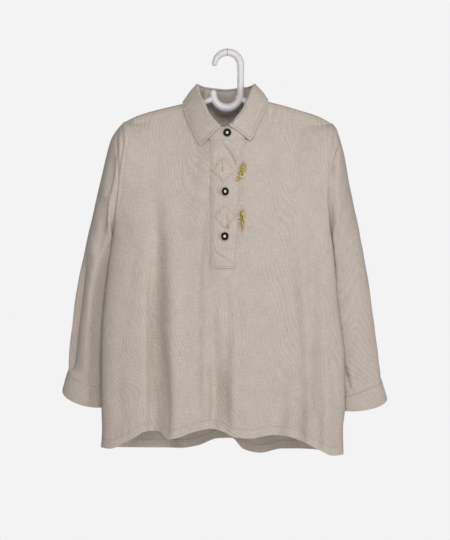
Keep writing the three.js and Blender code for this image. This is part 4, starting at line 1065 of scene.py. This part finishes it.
def button_place(x, z, on_stand, turn):
    """A function that takes a button's own points, about its middle, to where it is sewn on."""
    if on_stand:
        base, top = stand_base(np.array(360.0)), stand_top(np.array(360.0))
        seat = mix(base, top, (z - base[2]) / (top[2] - base[2]))[1]
    else:
        seat = float(on_panel(FRONT, x, z, PLACKET_LIFT)[1])
    c, s = math.cos(math.radians(turn)), math.sin(math.radians(turn))
    out = BUTTON_RADIUS * 0.8 * s + (1.2 if on_stand else -0.2)

    def place(p):
        aside, deep = p[..., 0], p[..., 1]
        return stack(x + c * aside + s * deep, seat - out + s * aside - c * deep, z - p[..., 2])

    return place


def button_pieces(name, x, z, on_stand, turn):
    place = button_place(x, z, on_stand, turn)
    for part, profile, sides, finish in (
        ("rim", RIM_PROFILE, 48, "button_rim"), ("eye", EYE_PROFILE, 32, "button_eye"),
    ):
        points, faces = lathe(profile, sides)
        piece = outward(new_object(f"{name}_{part}", place(points), faces, finish))
        laid(piece, f"{name}_{part}", finish)


def toggle_pieces(which, x, z, lean, cord_top, cord_low):
    length, top, tip, thick, bow = 36, 5.3, 1.9, 0.66, 0.8
    tilt, cord_lift = math.radians(lean), PLACKET_LIFT + SEAM + 0.9
    cord_at = (z - cord_top) / length
    cord = min(
        float(on_panel(FRONT, x - math.sin(tilt) * (z - cz) + LOOP_BEND, cz, cord_lift + 0.9)[1])
        for cz in (cord_top, cord_low)
    )

    def radius(t):
        return mix(top, tip, t**1.25)

    axis = cord - SEAM - radius(cord_at) * thick - 0.25
    t = np.linspace(0.02, 0.95, 40)
    out = bow * (np.sin(PI * t) - math.sin(PI * cord_at))
    line = stack(x - math.sin(tilt) * t * length, axis - out, z - math.cos(tilt) * t * length)
    carved = 1 + 0.025 * np.sin(t * 19) + 0.02 * np.sin(t * 41 + 1)
    points, faces = rod(line, radius(t) * carved, 36, thick, crown=0.1)
    body = outward(new_object(f"toggle_{which}", points, faces, "toggle", crisp=40))
    for down in TOGGLE_HOLES:
        at = np.array([np.interp(down / length, t, line[:, k]) for k in range(3)])
        bore_line = at + np.array([[0, -15, 0], [0, 15, 0]])
        bore = bored(bore_line)
        cut = body.modifiers.new("hole", "BOOLEAN")
        cut.operation, cut.object, cut.solver = "DIFFERENCE", bore, "EXACT"
        # The hole's walls take the bore's near-black finish: painted shade inside each hole.
        cut.material_mode = "TRANSFER"
        body = baked(body)
        bpy.data.objects.remove(bore)
    laid(body, f"toggle_{which}", "toggle")
    patch_x, patch_z, across = [(p[1], p[2], p[3]) for p in PATCHES if p[0].endswith(which)][0]
    corner, far = patch_x + across, x - math.sin(tilt) * (z - cord_top) + LOOP_BEND
    middle = (cord_top + cord_low) / 2
    way = (
        (corner - 2.2, patch_z - 6.4), (corner + 4, cord_low + 1.5), (far - 6, cord_low),
        (far - 1.6, cord_low + 1.4), (far, middle), (far - 1.6, cord_top - 1.4), (far - 6, cord_top),
        (corner + 4, cord_top - 0.5), (corner + 1.2, patch_z - 1.5),
    )
    path = smooth_path([on_panel(FRONT, px, pz, cord_lift) for px, pz in way], 20)
    points, faces = rod(path, np.full(len(path), CORD_RADIUS), 18, lobes=0.1, twist=CORD_LAY)
    loop = outward(new_object(f"loop_{which}", points, faces, "cord"))
    laid(loop, f"loop_{which}", "cord")


def bored(line):
    """The round bar that a toggle's hole is cut with."""
    n, angle = BORE_SIDES, np.linspace(0, 2 * PI, BORE_SIDES, endpoint=False)
    rim = stack(BORE_RADIUS * np.cos(angle), 0, BORE_RADIUS * np.sin(angle))
    points = np.concatenate([line[0] + rim, line[1] + rim])
    faces = [(j, (j + 1) % n, n + (j + 1) % n, n + j) for j in range(n)]
    faces += [tuple(range(n)), tuple(range(2 * n - 1, n - 1, -1))]
    return outward(new_object("bore", points, faces, "bore"))


def baked(piece):
    """The piece with its modifiers made part of its mesh."""
    graph = bpy.context.evaluated_depsgraph_get()
    mesh = bpy.data.meshes.new_from_object(piece.evaluated_get(graph), depsgraph=graph)
    piece.modifiers.clear()
    piece.data = mesh
    return piece


# ---- hanger ---------------------------------------------------------------------------------


HOOK_RADIUS, HOOK_DROP, TIP_TURN, TIP_SWELL = 26, -18.6, 172, 2.4
CROOK_RADIUS, CROOK_X, CROOK_Z, CROOK_END = 27.2, -1.3, -76.6, (-28.5, -74.0)
HOOK_TUBE, HOOK_TIP, CROOK_TUBE, CROOK_SWELL, CROOK_TIP = 7.4, 5.4, 7.2, 8.6, 6.8
STEM_TUBE = table("z radius", (-72, 7.1), (-56, 6.9), (-35, 6.9), (-22, 7.2))
ARM_REACH, ARM_THICK, ARM_THIN = (66, 90, 115, 141, 165, 183.0), 6.4, 5.2
ROUND, ARM_SIDES, TURNS = 80, 36, 90


def hanger_piece():
    """The hook, its stem and the crook below it in one run of tube, with an arm joined on each side."""
    turn = np.linspace(TIP_TURN, 0, TURNS)
    over = stack(HOOK_RADIUS * cos_d(turn), 0, HOOK_DROP + HOOK_RADIUS * sin_d(turn))
    stem_z = np.linspace(-22, -72, 8)
    turn = np.linspace(0, -180, TURNS)
    under = stack(CROOK_X + CROOK_RADIUS * cos_d(turn), 0, CROOK_Z + CROOK_RADIUS * sin_d(turn))
    stem, end = stack(HOOK_RADIUS, 0, stem_z), np.array([[CROOK_END[0], 0, CROOK_END[1]]])
    line = np.concatenate([over, stem, under, end])
    radii = np.concatenate([
        mix(HOOK_TIP, HOOK_TUBE, np.minimum(1, np.linspace(0, 1, TURNS) * TIP_SWELL)),
        np.interp(stem_z, *STEM_TUBE.values()),
        mix(CROOK_TUBE, CROOK_SWELL, np.sin(np.linspace(0, PI, TURNS)) ** 2),
        (CROOK_TIP,),
    ])
    piece = outward(new_object("hanger", *rod(line, radii, ROUND), "plastic"))
    drop = (CLOTH + 0.5 + ARM_THIN) * 1.06
    for side in (-1, 1):
        reach = side * np.array(ARM_REACH)
        along = stack(reach, 0, ridge_z(reach) - drop)
        start = np.array([[side * 24 - 2, 0, -83.5], [side * 45 - 3, 0, -93.2]])
        path = smooth_path(np.concatenate([start, along]), 12)
        tube = np.interp(abs(path[:, 0]), (26, 50), (ARM_THICK, ARM_THIN))
        arm = outward(new_object("arm", *rod(path, tube, ARM_SIDES), "plastic"))
        joined = piece.modifiers.new("joined", "BOOLEAN")
        joined.operation, joined.object, joined.solver = "UNION", arm, "EXACT"
        baked(piece)
        bpy.data.objects.remove(arm)
    piece.data.shade_smooth()
    piece.data.set_sharp_from_angle(angle=math.radians(35))
    return laid(piece, "hanger", "plastic")


# ---- thread: rows of stitches ------------------------------------------------------------------


def socket(tree, name, kind, default=None, way="INPUT"):
    made = tree.interface.new_socket(name, in_out=way, socket_type=kind)
    if default is not None:
        made.default_value = default
    return made


def add(tree, kind, settings=None, inputs=None):
    """One node with its settings; an input is a value, or the socket that feeds it."""
    made = tree.nodes.new(kind)
    for key, value in (settings or {}).items():
        setattr(made, key, value)
    for key, value in (inputs or {}).items():
        if isinstance(value, bpy.types.NodeSocket):
            tree.links.new(value, made.inputs[key])
        else:
            made.inputs[key].default_value = value
    return made


def stitch_tree(finish):
    """Even stitches along every edge path of a mesh: one thread bead each, laid along the path."""
    tree = bpy.data.node_groups.new("stitch rows", "GeometryNodeTree")
    socket(tree, "Geometry", "NodeSocketGeometry")
    socket(tree, "Pitch", "NodeSocketFloat", 0.0032)
    socket(tree, "Length", "NodeSocketFloat", 0.0026)
    socket(tree, "Thickness", "NodeSocketFloat", 0.0003)
    socket(tree, "Unevenness", "NodeSocketFloat", 0.12)
    socket(tree, "Seed", "NodeSocketInt", 7)
    socket(tree, "Geometry", "NodeSocketGeometry", way="OUTPUT")
    given = add(tree, "NodeGroupInput").outputs
    paths = add(tree, "GeometryNodeMeshToCurve", None, {"Mesh": given["Geometry"]})
    even = add(tree, "GeometryNodeResampleCurve", {"mode": "LENGTH"}, {
        "Curve": paths.outputs[0], "Length": given["Pitch"],
    })
    tangent = add(tree, "GeometryNodeInputTangent")
    aim = add(tree, "FunctionNodeAlignRotationToVector", {"axis": "X"}, {"Vector": tangent.outputs[0]})
    bead = add(tree, "GeometryNodeMeshUVSphere", None, {"Segments": 6, "Rings": 4, "Radius": 1.0})
    half = add(tree, "ShaderNodeMath", {"operation": "MULTIPLY"}, {0: given["Length"], 1: 0.5})
    low = add(tree, "ShaderNodeMath", {"operation": "SUBTRACT"}, {0: 1.0, 1: given["Unevenness"]})
    high = add(tree, "ShaderNodeMath", {"operation": "ADD"}, {0: 1.0, 1: given["Unevenness"]})
    draw = add(tree, "FunctionNodeRandomValue", {"data_type": "FLOAT"}, {
        2: low.outputs[0], 3: high.outputs[0], "Seed": given["Seed"],
    })
    long = add(tree, "ShaderNodeMath", {"operation": "MULTIPLY"}, {0: half.outputs[0], 1: draw.outputs[1]})
    size = add(tree, "ShaderNodeCombineXYZ", None, {
        0: long.outputs[0], 1: given["Thickness"], 2: given["Thickness"],
    })
    beads = add(tree, "GeometryNodeInstanceOnPoints", None, {
        "Points": even.outputs[0], "Instance": bead.outputs["Mesh"],
        "Rotation": aim.outputs[0], "Scale": size.outputs[0],
    })
    real = add(tree, "GeometryNodeRealizeInstances", None, {0: beads.outputs[0]})
    dyed = add(tree, "GeometryNodeSetMaterial", None, {
        "Geometry": real.outputs[0], "Material": MATERIALS[finish],
    })
    add(tree, "NodeGroupOutput", None, {0: dyed.outputs[0]})
    return tree


def thread_rows(name, tree, paths, **sizes):
    """A piece of stitches along paths of points, in millimetres."""
    points, edges, base = [], [], 0
    for path in paths:
        points.append(path)
        edges += [(base + i, base + i + 1) for i in range(len(path) - 1)]
        base += len(path)
    mesh = bpy.data.meshes.new(name)
    mesh.from_pydata((np.concatenate(points) * MM).tolist(), edges, [])
    piece = bpy.data.objects.new(name, mesh)
    bpy.context.scene.collection.objects.link(piece)
    sewn = piece.modifiers.new("sewn", "NODES")
    sewn.node_group = tree
    sockets = tree.interface.items_tree
    names = {item.name: item.identifier for item in sockets if item.in_out == "INPUT"}
    for key, value in sizes.items():
        sewn[names[key]] = value
    baked(piece)
    piece.data.shade_smooth()
    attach(piece, "root")
    return piece


def panel_row(panel, x, z, lift=0.15):
    share = clamp(share_of(x, z), -1, 1)
    return on_panel(panel, x, z, panel_relief(panel, share, x, z) + lift)


def bars():
    """Close-worked bars of cream thread on the patches, and the strands that hold the buttons on."""
    lift, tree = PLACKET_LIFT + LAY + PATCH + 0.75, stitch_tree("cream")
    rows = []
    for x, low, high in ((-9.2, -234, -213), (-1.6, -344, -317), (2.2, -342, -322)):
        z = np.linspace(low, high, 14)
        rows.append(on_panel(FRONT, np.full(14, x), z, lift))
    turn = np.linspace(0, 2 * PI, 16)
    rows.append(on_panel(FRONT, -9.2 + 1.8 * np.cos(turn), -228 + 2.4 * np.sin(turn), lift))
    rows.append(on_panel(FRONT, 0.3 + 2.6 * np.cos(turn), -343 + 2.6 * np.sin(turn), lift))
    thread_rows("bar_stitching", tree, rows, Pitch=0.0007, Length=0.0009, Thickness=0.0008, Seed=4)
    strands = []
    for _, x, z, on_stand, turn in BUTTONS:
        place = button_place(x, z, on_stand, turn)
        for a in (-0.6, 0.6):
            strands.append(place(stack(np.linspace(-1.5, 1.5, 5), np.full(5, 2.2), a)))
    sizes = {"Pitch": 0.0009, "Length": 0.0011, "Thickness": 0.0003, "Seed": 6}
    thread_rows("button_thread", tree, strands, **sizes)


def stitch_paths():
    """The sewn lines: hems, shoulders, placket and its box, collar leaf, cuffs, patches and stand."""
    rows = []
    x = np.linspace(-246, 226, 320)
    for panel in (FRONT, BACK):
        rows.append(panel_row(panel, x, panel.hem(x) + HEM_BAND))
    for low, high in ((-203, -64), (60, 207)):
        x = np.linspace(low, high, 90)
        rows.append(panel_row(FRONT, x, ridge_z(x) - 8))
    z = np.linspace(-176, PLACKET_BOTTOM + PLACKET_BAND, 160)
    lift = PLACKET_LIFT - 0.05
    left, right = placket_left(z) + PLACKET_BAND, placket_right(z) - PLACKET_BAND
    rows += [on_panel(FRONT, left, z, lift), on_panel(FRONT, right, z, lift)]
    for z_row in (BOX_TOP, PLACKET_BOTTOM + PLACKET_BAND):
        x = np.linspace(-27, 13, 30)
        rows.append(on_panel(FRONT, x, np.full(30, z_row), lift))
    for z0, z1 in ((BOX_TOP, -421), (-421, BOX_TOP)):
        rows.append(on_panel(FRONT, np.linspace(-27, 13, 40), np.linspace(z0, z1, 40), lift - 0.6))
    turn = np.linspace(LEAF_START, LEAF_END, 400)
    leaf = leaf_grid(turn)
    rows.append(offset_row(leaf, LEAF_BAND))
    for cuff, side in ((LEFT_CUFF, -1), (RIGHT_CUFF, 1)):
        ring, turns = ring_of(cuff, side), np.linspace(-180, 180, 150)
        for u in (0.2, 0.88):
            grid = behind_body(ring(np.array([[u - 0.02], [u], [u + 0.02]]), turns), side)
            rows.append((grid + normals_of(grid, False) * 0.2)[1])
    for _, x0, z0, across, along in PATCHES:
        inset = 0.87
        s = np.linspace(-inset, inset, 24)
        near, far = s * 0 - inset, s * 0 + inset
        for u, v in ((s, near), (s, far), (near, s), (far, s)):
            px, pz = x0 + across * (u - v) / 2, z0 - along * (u + v) / 2
            rows.append(on_panel(FRONT, px, pz, PLACKET_LIFT + LAY + PATCH + 0.05))
    turn = np.linspace(STAND_START + 4, STAND_END - 2, 300)
    for share in (0.1, 0.9):
        rows.append(mix(stand_base(turn), stand_top(turn), share) + outward_at(turn) * 0.12)
    return rows


def offset_row(grid, inset):
    """A path just over a leaf's outer face, `inset` millimetres inside its front and lower edges."""
    over = grid + normals_of(grid, False) * 0.25
    down, run = lengths(grid, 0), lengths(grid, 1)
    total = down[-1]

    def between(distances, points, at):
        return np.array([np.interp(at, distances, points[:, k]) for k in range(3)])

    columns = [j for j in range(len(total)) if inset < run[-1, j] < run[-1, -1] - inset]
    low = [between(down[:, j], over[:, j], total[j] - inset) for j in columns]
    sides = range(16, grid.shape[0] - 3)
    first = [between(run[i], over[i], inset) for i in sides]
    last = [between(run[i], over[i], run[i, -1] - inset) for i in sides]
    return np.array(first + low + last[::-1])


# ---- finishes -------------------------------------------------------------------------------


def colour(text):
    """An sRGB hex colour as linear RGBA."""
    parts = [int(text[i : i + 2], 16) / 255 for i in (1, 3, 5)]
    return (*[c / 12.92 if c <= 0.04045 else ((c + 0.055) / 1.055) ** 2.4 for c in parts], 1.0)


def new_material(name, even):
    """A material with its tree and shader, and the shader's even inputs set by name."""
    material = bpy.data.materials.new(name)
    material.use_nodes = True
    tree = material.node_tree
    shader = tree.nodes["Principled BSDF"]
    for key, value in even.items():
        shader.inputs[key].default_value = value
    return material, tree, shader


def shades(tree, factor, *stops):
    """A colour ramp: stops of (place, hex colour)."""
    made = add(tree, "ShaderNodeValToRGB", None, {0: factor})
    elements = made.color_ramp.elements
    while len(elements) < len(stops):
        elements.new(0.5)
    for element, (place, text) in zip(elements, stops):
        element.position, element.color = place, colour(text)
    return made.outputs[0]


def weighted(tree, total, *parts):
    """`total` with each part added to it. A part is a socket and its weight."""
    for part, weight in parts:
        inputs = {0: part, 1: weight, 2: total}
        total = add(tree, "ShaderNodeMath", {"operation": "MULTIPLY_ADD"}, inputs).outputs[0]
    return total


def soft_line(tree, away):
    """1 where the distance `away` is nought, dying off by about 1 on either side."""
    squared = add(tree, "ShaderNodeMath", {"operation": "MULTIPLY"}, {0: away, 1: away}).outputs[0]
    falling = weighted(tree, 0.0, (squared, -1.0))
    return add(tree, "ShaderNodeMath", {"operation": "EXPONENT"}, {0: falling}).outputs[0]


def stretched(tree, vector, across, along, detail, seed):
    """Noise whose grains are `across` by `along` millimetres on the flat cloth."""
    scaled = add(tree, "ShaderNodeMapping", None, {
        "Vector": vector, "Location": (seed, seed, 0), "Scale": (1 / across, 1 / along, 1),
    })
    inputs = {"Vector": scaled.outputs[0], "Scale": 1.0, "Detail": detail}
    return add(tree, "ShaderNodeTexNoise", None, inputs).outputs["Fac"]


def clouds(tree, scale, detail):
    """Noise over a piece as it stands, with `scale` grains to the metre."""
    place = add(tree, "ShaderNodeTexCoord").outputs["Object"]
    inputs = {"Vector": place, "Scale": scale, "Detail": detail}
    return add(tree, "ShaderNodeTexNoise", None, inputs).outputs["Fac"]


def linen():
    """Undyed slubby linen twill, washed and pressed: a matt greyish beige of paler and darker
    threads with brown flecks of straw. Its twill is too fine to show, so the ribs that the eye
    makes of it are drawn instead: 6 mm apart, faint, and wandering with the weave."""
    material, tree, shader = new_material("undyed linen twill", {
        "Roughness": 0.9, "Specular IOR Level": 0.25, "Sheen Weight": 0.12, "Sheen Roughness": 0.5,
    })
    uv = add(tree, "ShaderNodeTexCoord").outputs["UV"]
    flat = add(tree, "ShaderNodeVectorMath", {"operation": "SCALE"}, {0: uv, "Scale": 1000.0}).outputs[0]
    warp, weft, mottle, grain, fleck, drift = (
        stretched(tree, flat, *sizes)
        for sizes in (
            (1.3, 20, 2.0, 3.1), (18, 1.3, 2.0, 7.7), (30, 40, 2.0, 1.3),
            (1.6, 1.6, 3.0, 5.2), (1.7, 4.6, 1.0, 9.4), (150, 190, 1.0, 2.9),
        )
    )
    split = add(tree, "ShaderNodeSeparateXYZ", None, {0: flat})
    bent = weighted(tree, split.outputs[0], (split.outputs[1], 0.30), (drift, 130.0))
    phase = weighted(tree, 0.0, (bent, 2 * PI / 6.0))
    rib = add(tree, "ShaderNodeMath", {"operation": "SINE"}, {0: phase}).outputs[0]
    tone = weighted(tree, 0.0, (weft, 0.22), (warp, 0.22), (grain, 0.48), (mottle, 0.08), (rib, 0.022))
    base = shades(tree, tone, (0.36, "#a69c91"), (0.47, "#b9aea4"), (0.53, "#c2b7ad"), (0.64, "#d2c8be"))
    marks = add(tree, "ShaderNodeMapRange", {"interpolation_type": "SMOOTHSTEP"}, {
        "Value": fleck, "From Min": 0.70, "From Max": 0.78,
    })
    # The "hem" attribute is each point's distance from its stitch line, and `seam` is 1 on that line. Its
    # #8d8073 mix is painted shade: the stitch groove's shadow painted into the colour, beside the groove's
    # real bump.
    hem = add(tree, "ShaderNodeAttribute", {"attribute_name": "hem"}).outputs["Fac"]
    seam = soft_line(tree, hem)
    # The straw flecks are the cloth's own colour. The second mix is painted shade along the stitch lines.
    for share, fleck_and_shade_colour in (
        (weighted(tree, 0.0, (marks.outputs[0], 0.4)), "#7d6a58"),
        (weighted(tree, 0.0, (seam, 0.22)), "#8d8073"),
    ):
        inputs = {0: share, 6: base, 7: colour(fleck_and_shade_colour)}
        base = add(tree, "ShaderNodeMix", {"data_type": "RGBA"}, inputs).outputs[2]
    tree.links.new(base, shader.inputs["Base Color"])
    relief = weighted(tree, warp, (grain, 0.8), (rib, 0.12), (weft, 1.0), (seam, -0.6))
    bump = add(tree, "ShaderNodeBump", None, {"Height": relief, "Strength": 0.55, "Distance": 0.0005})
    tree.links.new(bump.outputs[0], shader.inputs["Normal"])
    return material


def thread(name, low, high):
    """Mercerised cotton sewing thread, near the cloth's own shade, with the faint gloss of its ply."""
    material, tree, shader = new_material(name, {"Roughness": 0.7})
    tone = shades(tree, clouds(tree, 900.0, 1.0), (0.3, low), (0.7, high))
    tree.links.new(tone, shader.inputs["Base Color"])
    return material


def horn(name, low, middle, high, scale, roughness, wear, gloss):
    """Horn: streaks that run along the piece, deeper in some places, under a satin hand polish."""
    material, tree, shader = new_material(name, {
        "Roughness": roughness, "IOR": 1.54, "Specular IOR Level": gloss,
    })
    place = add(tree, "ShaderNodeTexCoord").outputs["Object"]
    along = add(tree, "ShaderNodeMapping", None, {
        "Vector": place, "Scale": (scale, scale, scale * 0.28),
    })
    streaks = add(tree, "ShaderNodeTexNoise", None, {
        "Vector": along.outputs[0], "Scale": 1.0, "Detail": 4.0, "Roughness": 0.6,
    }).outputs["Fac"]
    tone = shades(tree, streaks, (0.35, low), (0.52, middle), (0.68, high))
    tree.links.new(tone, shader.inputs["Base Color"])
    bump = add(tree, "ShaderNodeBump", None, {"Height": streaks, "Strength": wear, "Distance": 0.0003})
    tree.links.new(bump.outputs[0], shader.inputs["Normal"])
    return material


def cord_cotton():
    """Bleached three-strand cotton cord: off-white, matt, greyed where it is handled."""
    even = {"Roughness": 0.85, "Sheen Weight": 0.2}
    material, tree, shader = new_material("laid cotton cord", even)
    tone = shades(tree, clouds(tree, 500.0, 3.0), (0.3, "#cfc8bd"), (0.65, "#f0ebe2"))
    tree.links.new(tone, shader.inputs["Base Color"])
    return material


def plastic():
    """Injection-moulded white polypropylene: softly glossy, very slightly pink and uneven in
    gloss from handling, with the mould's join as a thin line across the top of the hook."""
    material, tree, shader = new_material("moulded polypropylene", {"IOR": 1.49})
    cloud = clouds(tree, 45.0, 3.0)
    white = shades(tree, cloud, (0.3, "#d8d3d5"), (0.7, "#e0dcde"))
    gloss = add(tree, "ShaderNodeMapRange", None, {
        "Value": cloud, "From Min": 0.3, "From Max": 0.7, "To Min": 0.26, "To Max": 0.38,
    })
    tree.links.new(gloss.outputs[0], shader.inputs["Roughness"])
    place = add(tree, "ShaderNodeTexCoord").outputs["Object"]
    split = add(tree, "ShaderNodeSeparateXYZ", None, {0: place})
    away, above = (
        add(tree, "ShaderNodeMath", {"operation": operation}, {0: split.outputs[axis], 1: value}).outputs[0]
        for operation, axis, value in (("DIVIDE", "X", 0.0007), ("GREATER_THAN", "Z", -0.012))
    )
    inputs = {0: soft_line(tree, away), 1: above}
    line = add(tree, "ShaderNodeMath", {"operation": "MULTIPLY"}, inputs).outputs[0]
    inputs = {0: weighted(tree, 0.0, (line, 0.9)), 6: white, 7: colour("#6f665c")}
    scored = add(tree, "ShaderNodeMix", {"data_type": "RGBA"}, inputs)
    tree.links.new(scored.outputs[2], shader.inputs["Base Color"])
    bump = add(tree, "ShaderNodeBump", None, {"Height": line, "Strength": 0.3, "Distance": 0.0003})
    tree.links.new(bump.outputs[0], shader.inputs["Normal"])
    return material


def paper():
    """Matt pale studio paper."""
    material, tree, shader = new_material("studio paper", {"Roughness": 0.95})
    tone = shades(tree, clouds(tree, 3.0, 2.0), (0.3, "#eeeeee"), (0.7, "#f3f3f3"))
    tree.links.new(tone, shader.inputs["Base Color"])
    return material


# ---- the scene ------------------------------------------------------------------------------


def studio():
    """Pale paper all round, five soft lamps, the floor and a camera with a long lens."""
    scene = bpy.context.scene
    world = bpy.data.worlds.new("studio")
    scene.world, world.use_nodes = world, True
    tree = world.node_tree
    tree.nodes.clear()
    seen = add(tree, "ShaderNodeBackground", None, {"Color": colour("#f3f3f3"), "Strength": 1.0})
    light = add(tree, "ShaderNodeBackground", None, {"Color": colour("#f6f4f2"), "Strength": 0.28})
    ray = add(tree, "ShaderNodeLightPath")
    both = add(tree, "ShaderNodeMixShader", None, {
        0: ray.outputs["Is Camera Ray"], 1: light.outputs[0], 2: seen.outputs[0],
    })
    add(tree, "ShaderNodeOutputWorld", None, {0: both.outputs[0]})
    for name, place, size, power in (
        ("key", (2.6, -2.25, -0.2), 0.8, 28.5), ("low front", (-0.05, -1.9, -0.9), 0.5, 7.5),
        ("high front", (0.0, -1.6, 0.4), 0.5, 10), ("top", (0.1, -1.3, 1.0), 0.9, 2.5),
        ("back", (-0.5, 2.6, 0.2), 0.8, 22),
    ):
        lamp = bpy.data.lights.new(name, "AREA")
        lamp.size, lamp.energy = size, power
        holder = bpy.data.objects.new(name, lamp)
        scene.collection.objects.link(holder)
        holder.location = place
        aim = Vector((0, 0, -0.4)) - Vector(place)
        holder.rotation_euler = aim.to_track_quat("-Z", "Y").to_euler()
    angle = np.linspace(0, 2 * PI, 96, endpoint=False)
    disc = stack(2400 * np.cos(angle), 2400 * np.sin(angle), -1500)
    new_object("floor", disc, [tuple(range(96))], "paper")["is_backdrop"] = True
    lens = bpy.data.cameras.new("camera")
    lens.sensor_width, lens.lens = 36, 266.75
    camera = bpy.data.objects.new("camera", lens)
    scene.collection.objects.link(camera)
    camera.location, camera.rotation_euler = (-0.005, -8.0, -0.428), (PI / 2, 0, 0)
    scene.camera = camera
    scene.view_settings.view_transform = "Standard"


def build():
    """Makes the finishes, then every piece, then the studio."""
    MATERIALS.update(
        linen=linen(),
        thread=thread("beige sewing thread", "#b2a599", "#c8bdb1"),
        cream=thread("cream buttonhole thread", "#b9ab8a", "#d8ceb2"),
        cord=cord_cotton(),
        plastic=plastic(),
        paper=paper(),
        button_rim=horn("blackened horn", "#070504", "#0f0a08", "#1a1310", 700, 0.35, 0.05, 0.12),
        button_eye=horn("pale horn", "#dcd5c6", "#ece6d9", "#f6f2ea", 900, 0.42, 0.3, 0.5),
        # The bore's near-black colours are painted shade for the toggles' holes, not the horn's own colour.
        bore=horn("bore of a horn tip painted dark with shade", "#0d0703", "#160c06", "#22140b", 900, 0.8, 0.3, 0.2),
        toggle=horn("yellow horn tip", "#7d6120", "#b0963a", "#cfb95f", 320, 0.42, 0.35, 0.5),
    )
    panel_piece("front", FRONT)
    panel_piece("back", BACK)
    sleeve_piece("sleeve_left", LEFT_SLEEVE, LEFT_SLEEVE_CREASES, -1, 41)
    sleeve_piece("sleeve_right", RIGHT_SLEEVE, RIGHT_SLEEVE_CREASES, 1, 52)
    cuff_piece("cuff_left", LEFT_CUFF, -1, 61)
    cuff_piece("cuff_right", RIGHT_CUFF, 1, 62)
    stand_piece()
    leaf_piece()
    bars()
    placket_piece()
    placket_under_piece()
    for patch in PATCHES:
        patch_piece(*patch)
    for button in BUTTONS:
        button_pieces(*button)
    for toggle in TOGGLES:
        toggle_pieces(*toggle)
    hanger_piece()
    sizes = {"Pitch": 0.0034, "Length": 0.0027, "Thickness": 0.00032, "Seed": 11}
    thread_rows("stitching", stitch_tree("thread"), stitch_paths(), **sizes)
    studio()


build()
boxes = {
    name: [list(corner) for corner in box] for name, box in (("cad", CAD_BOX), ("visual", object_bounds()))
}
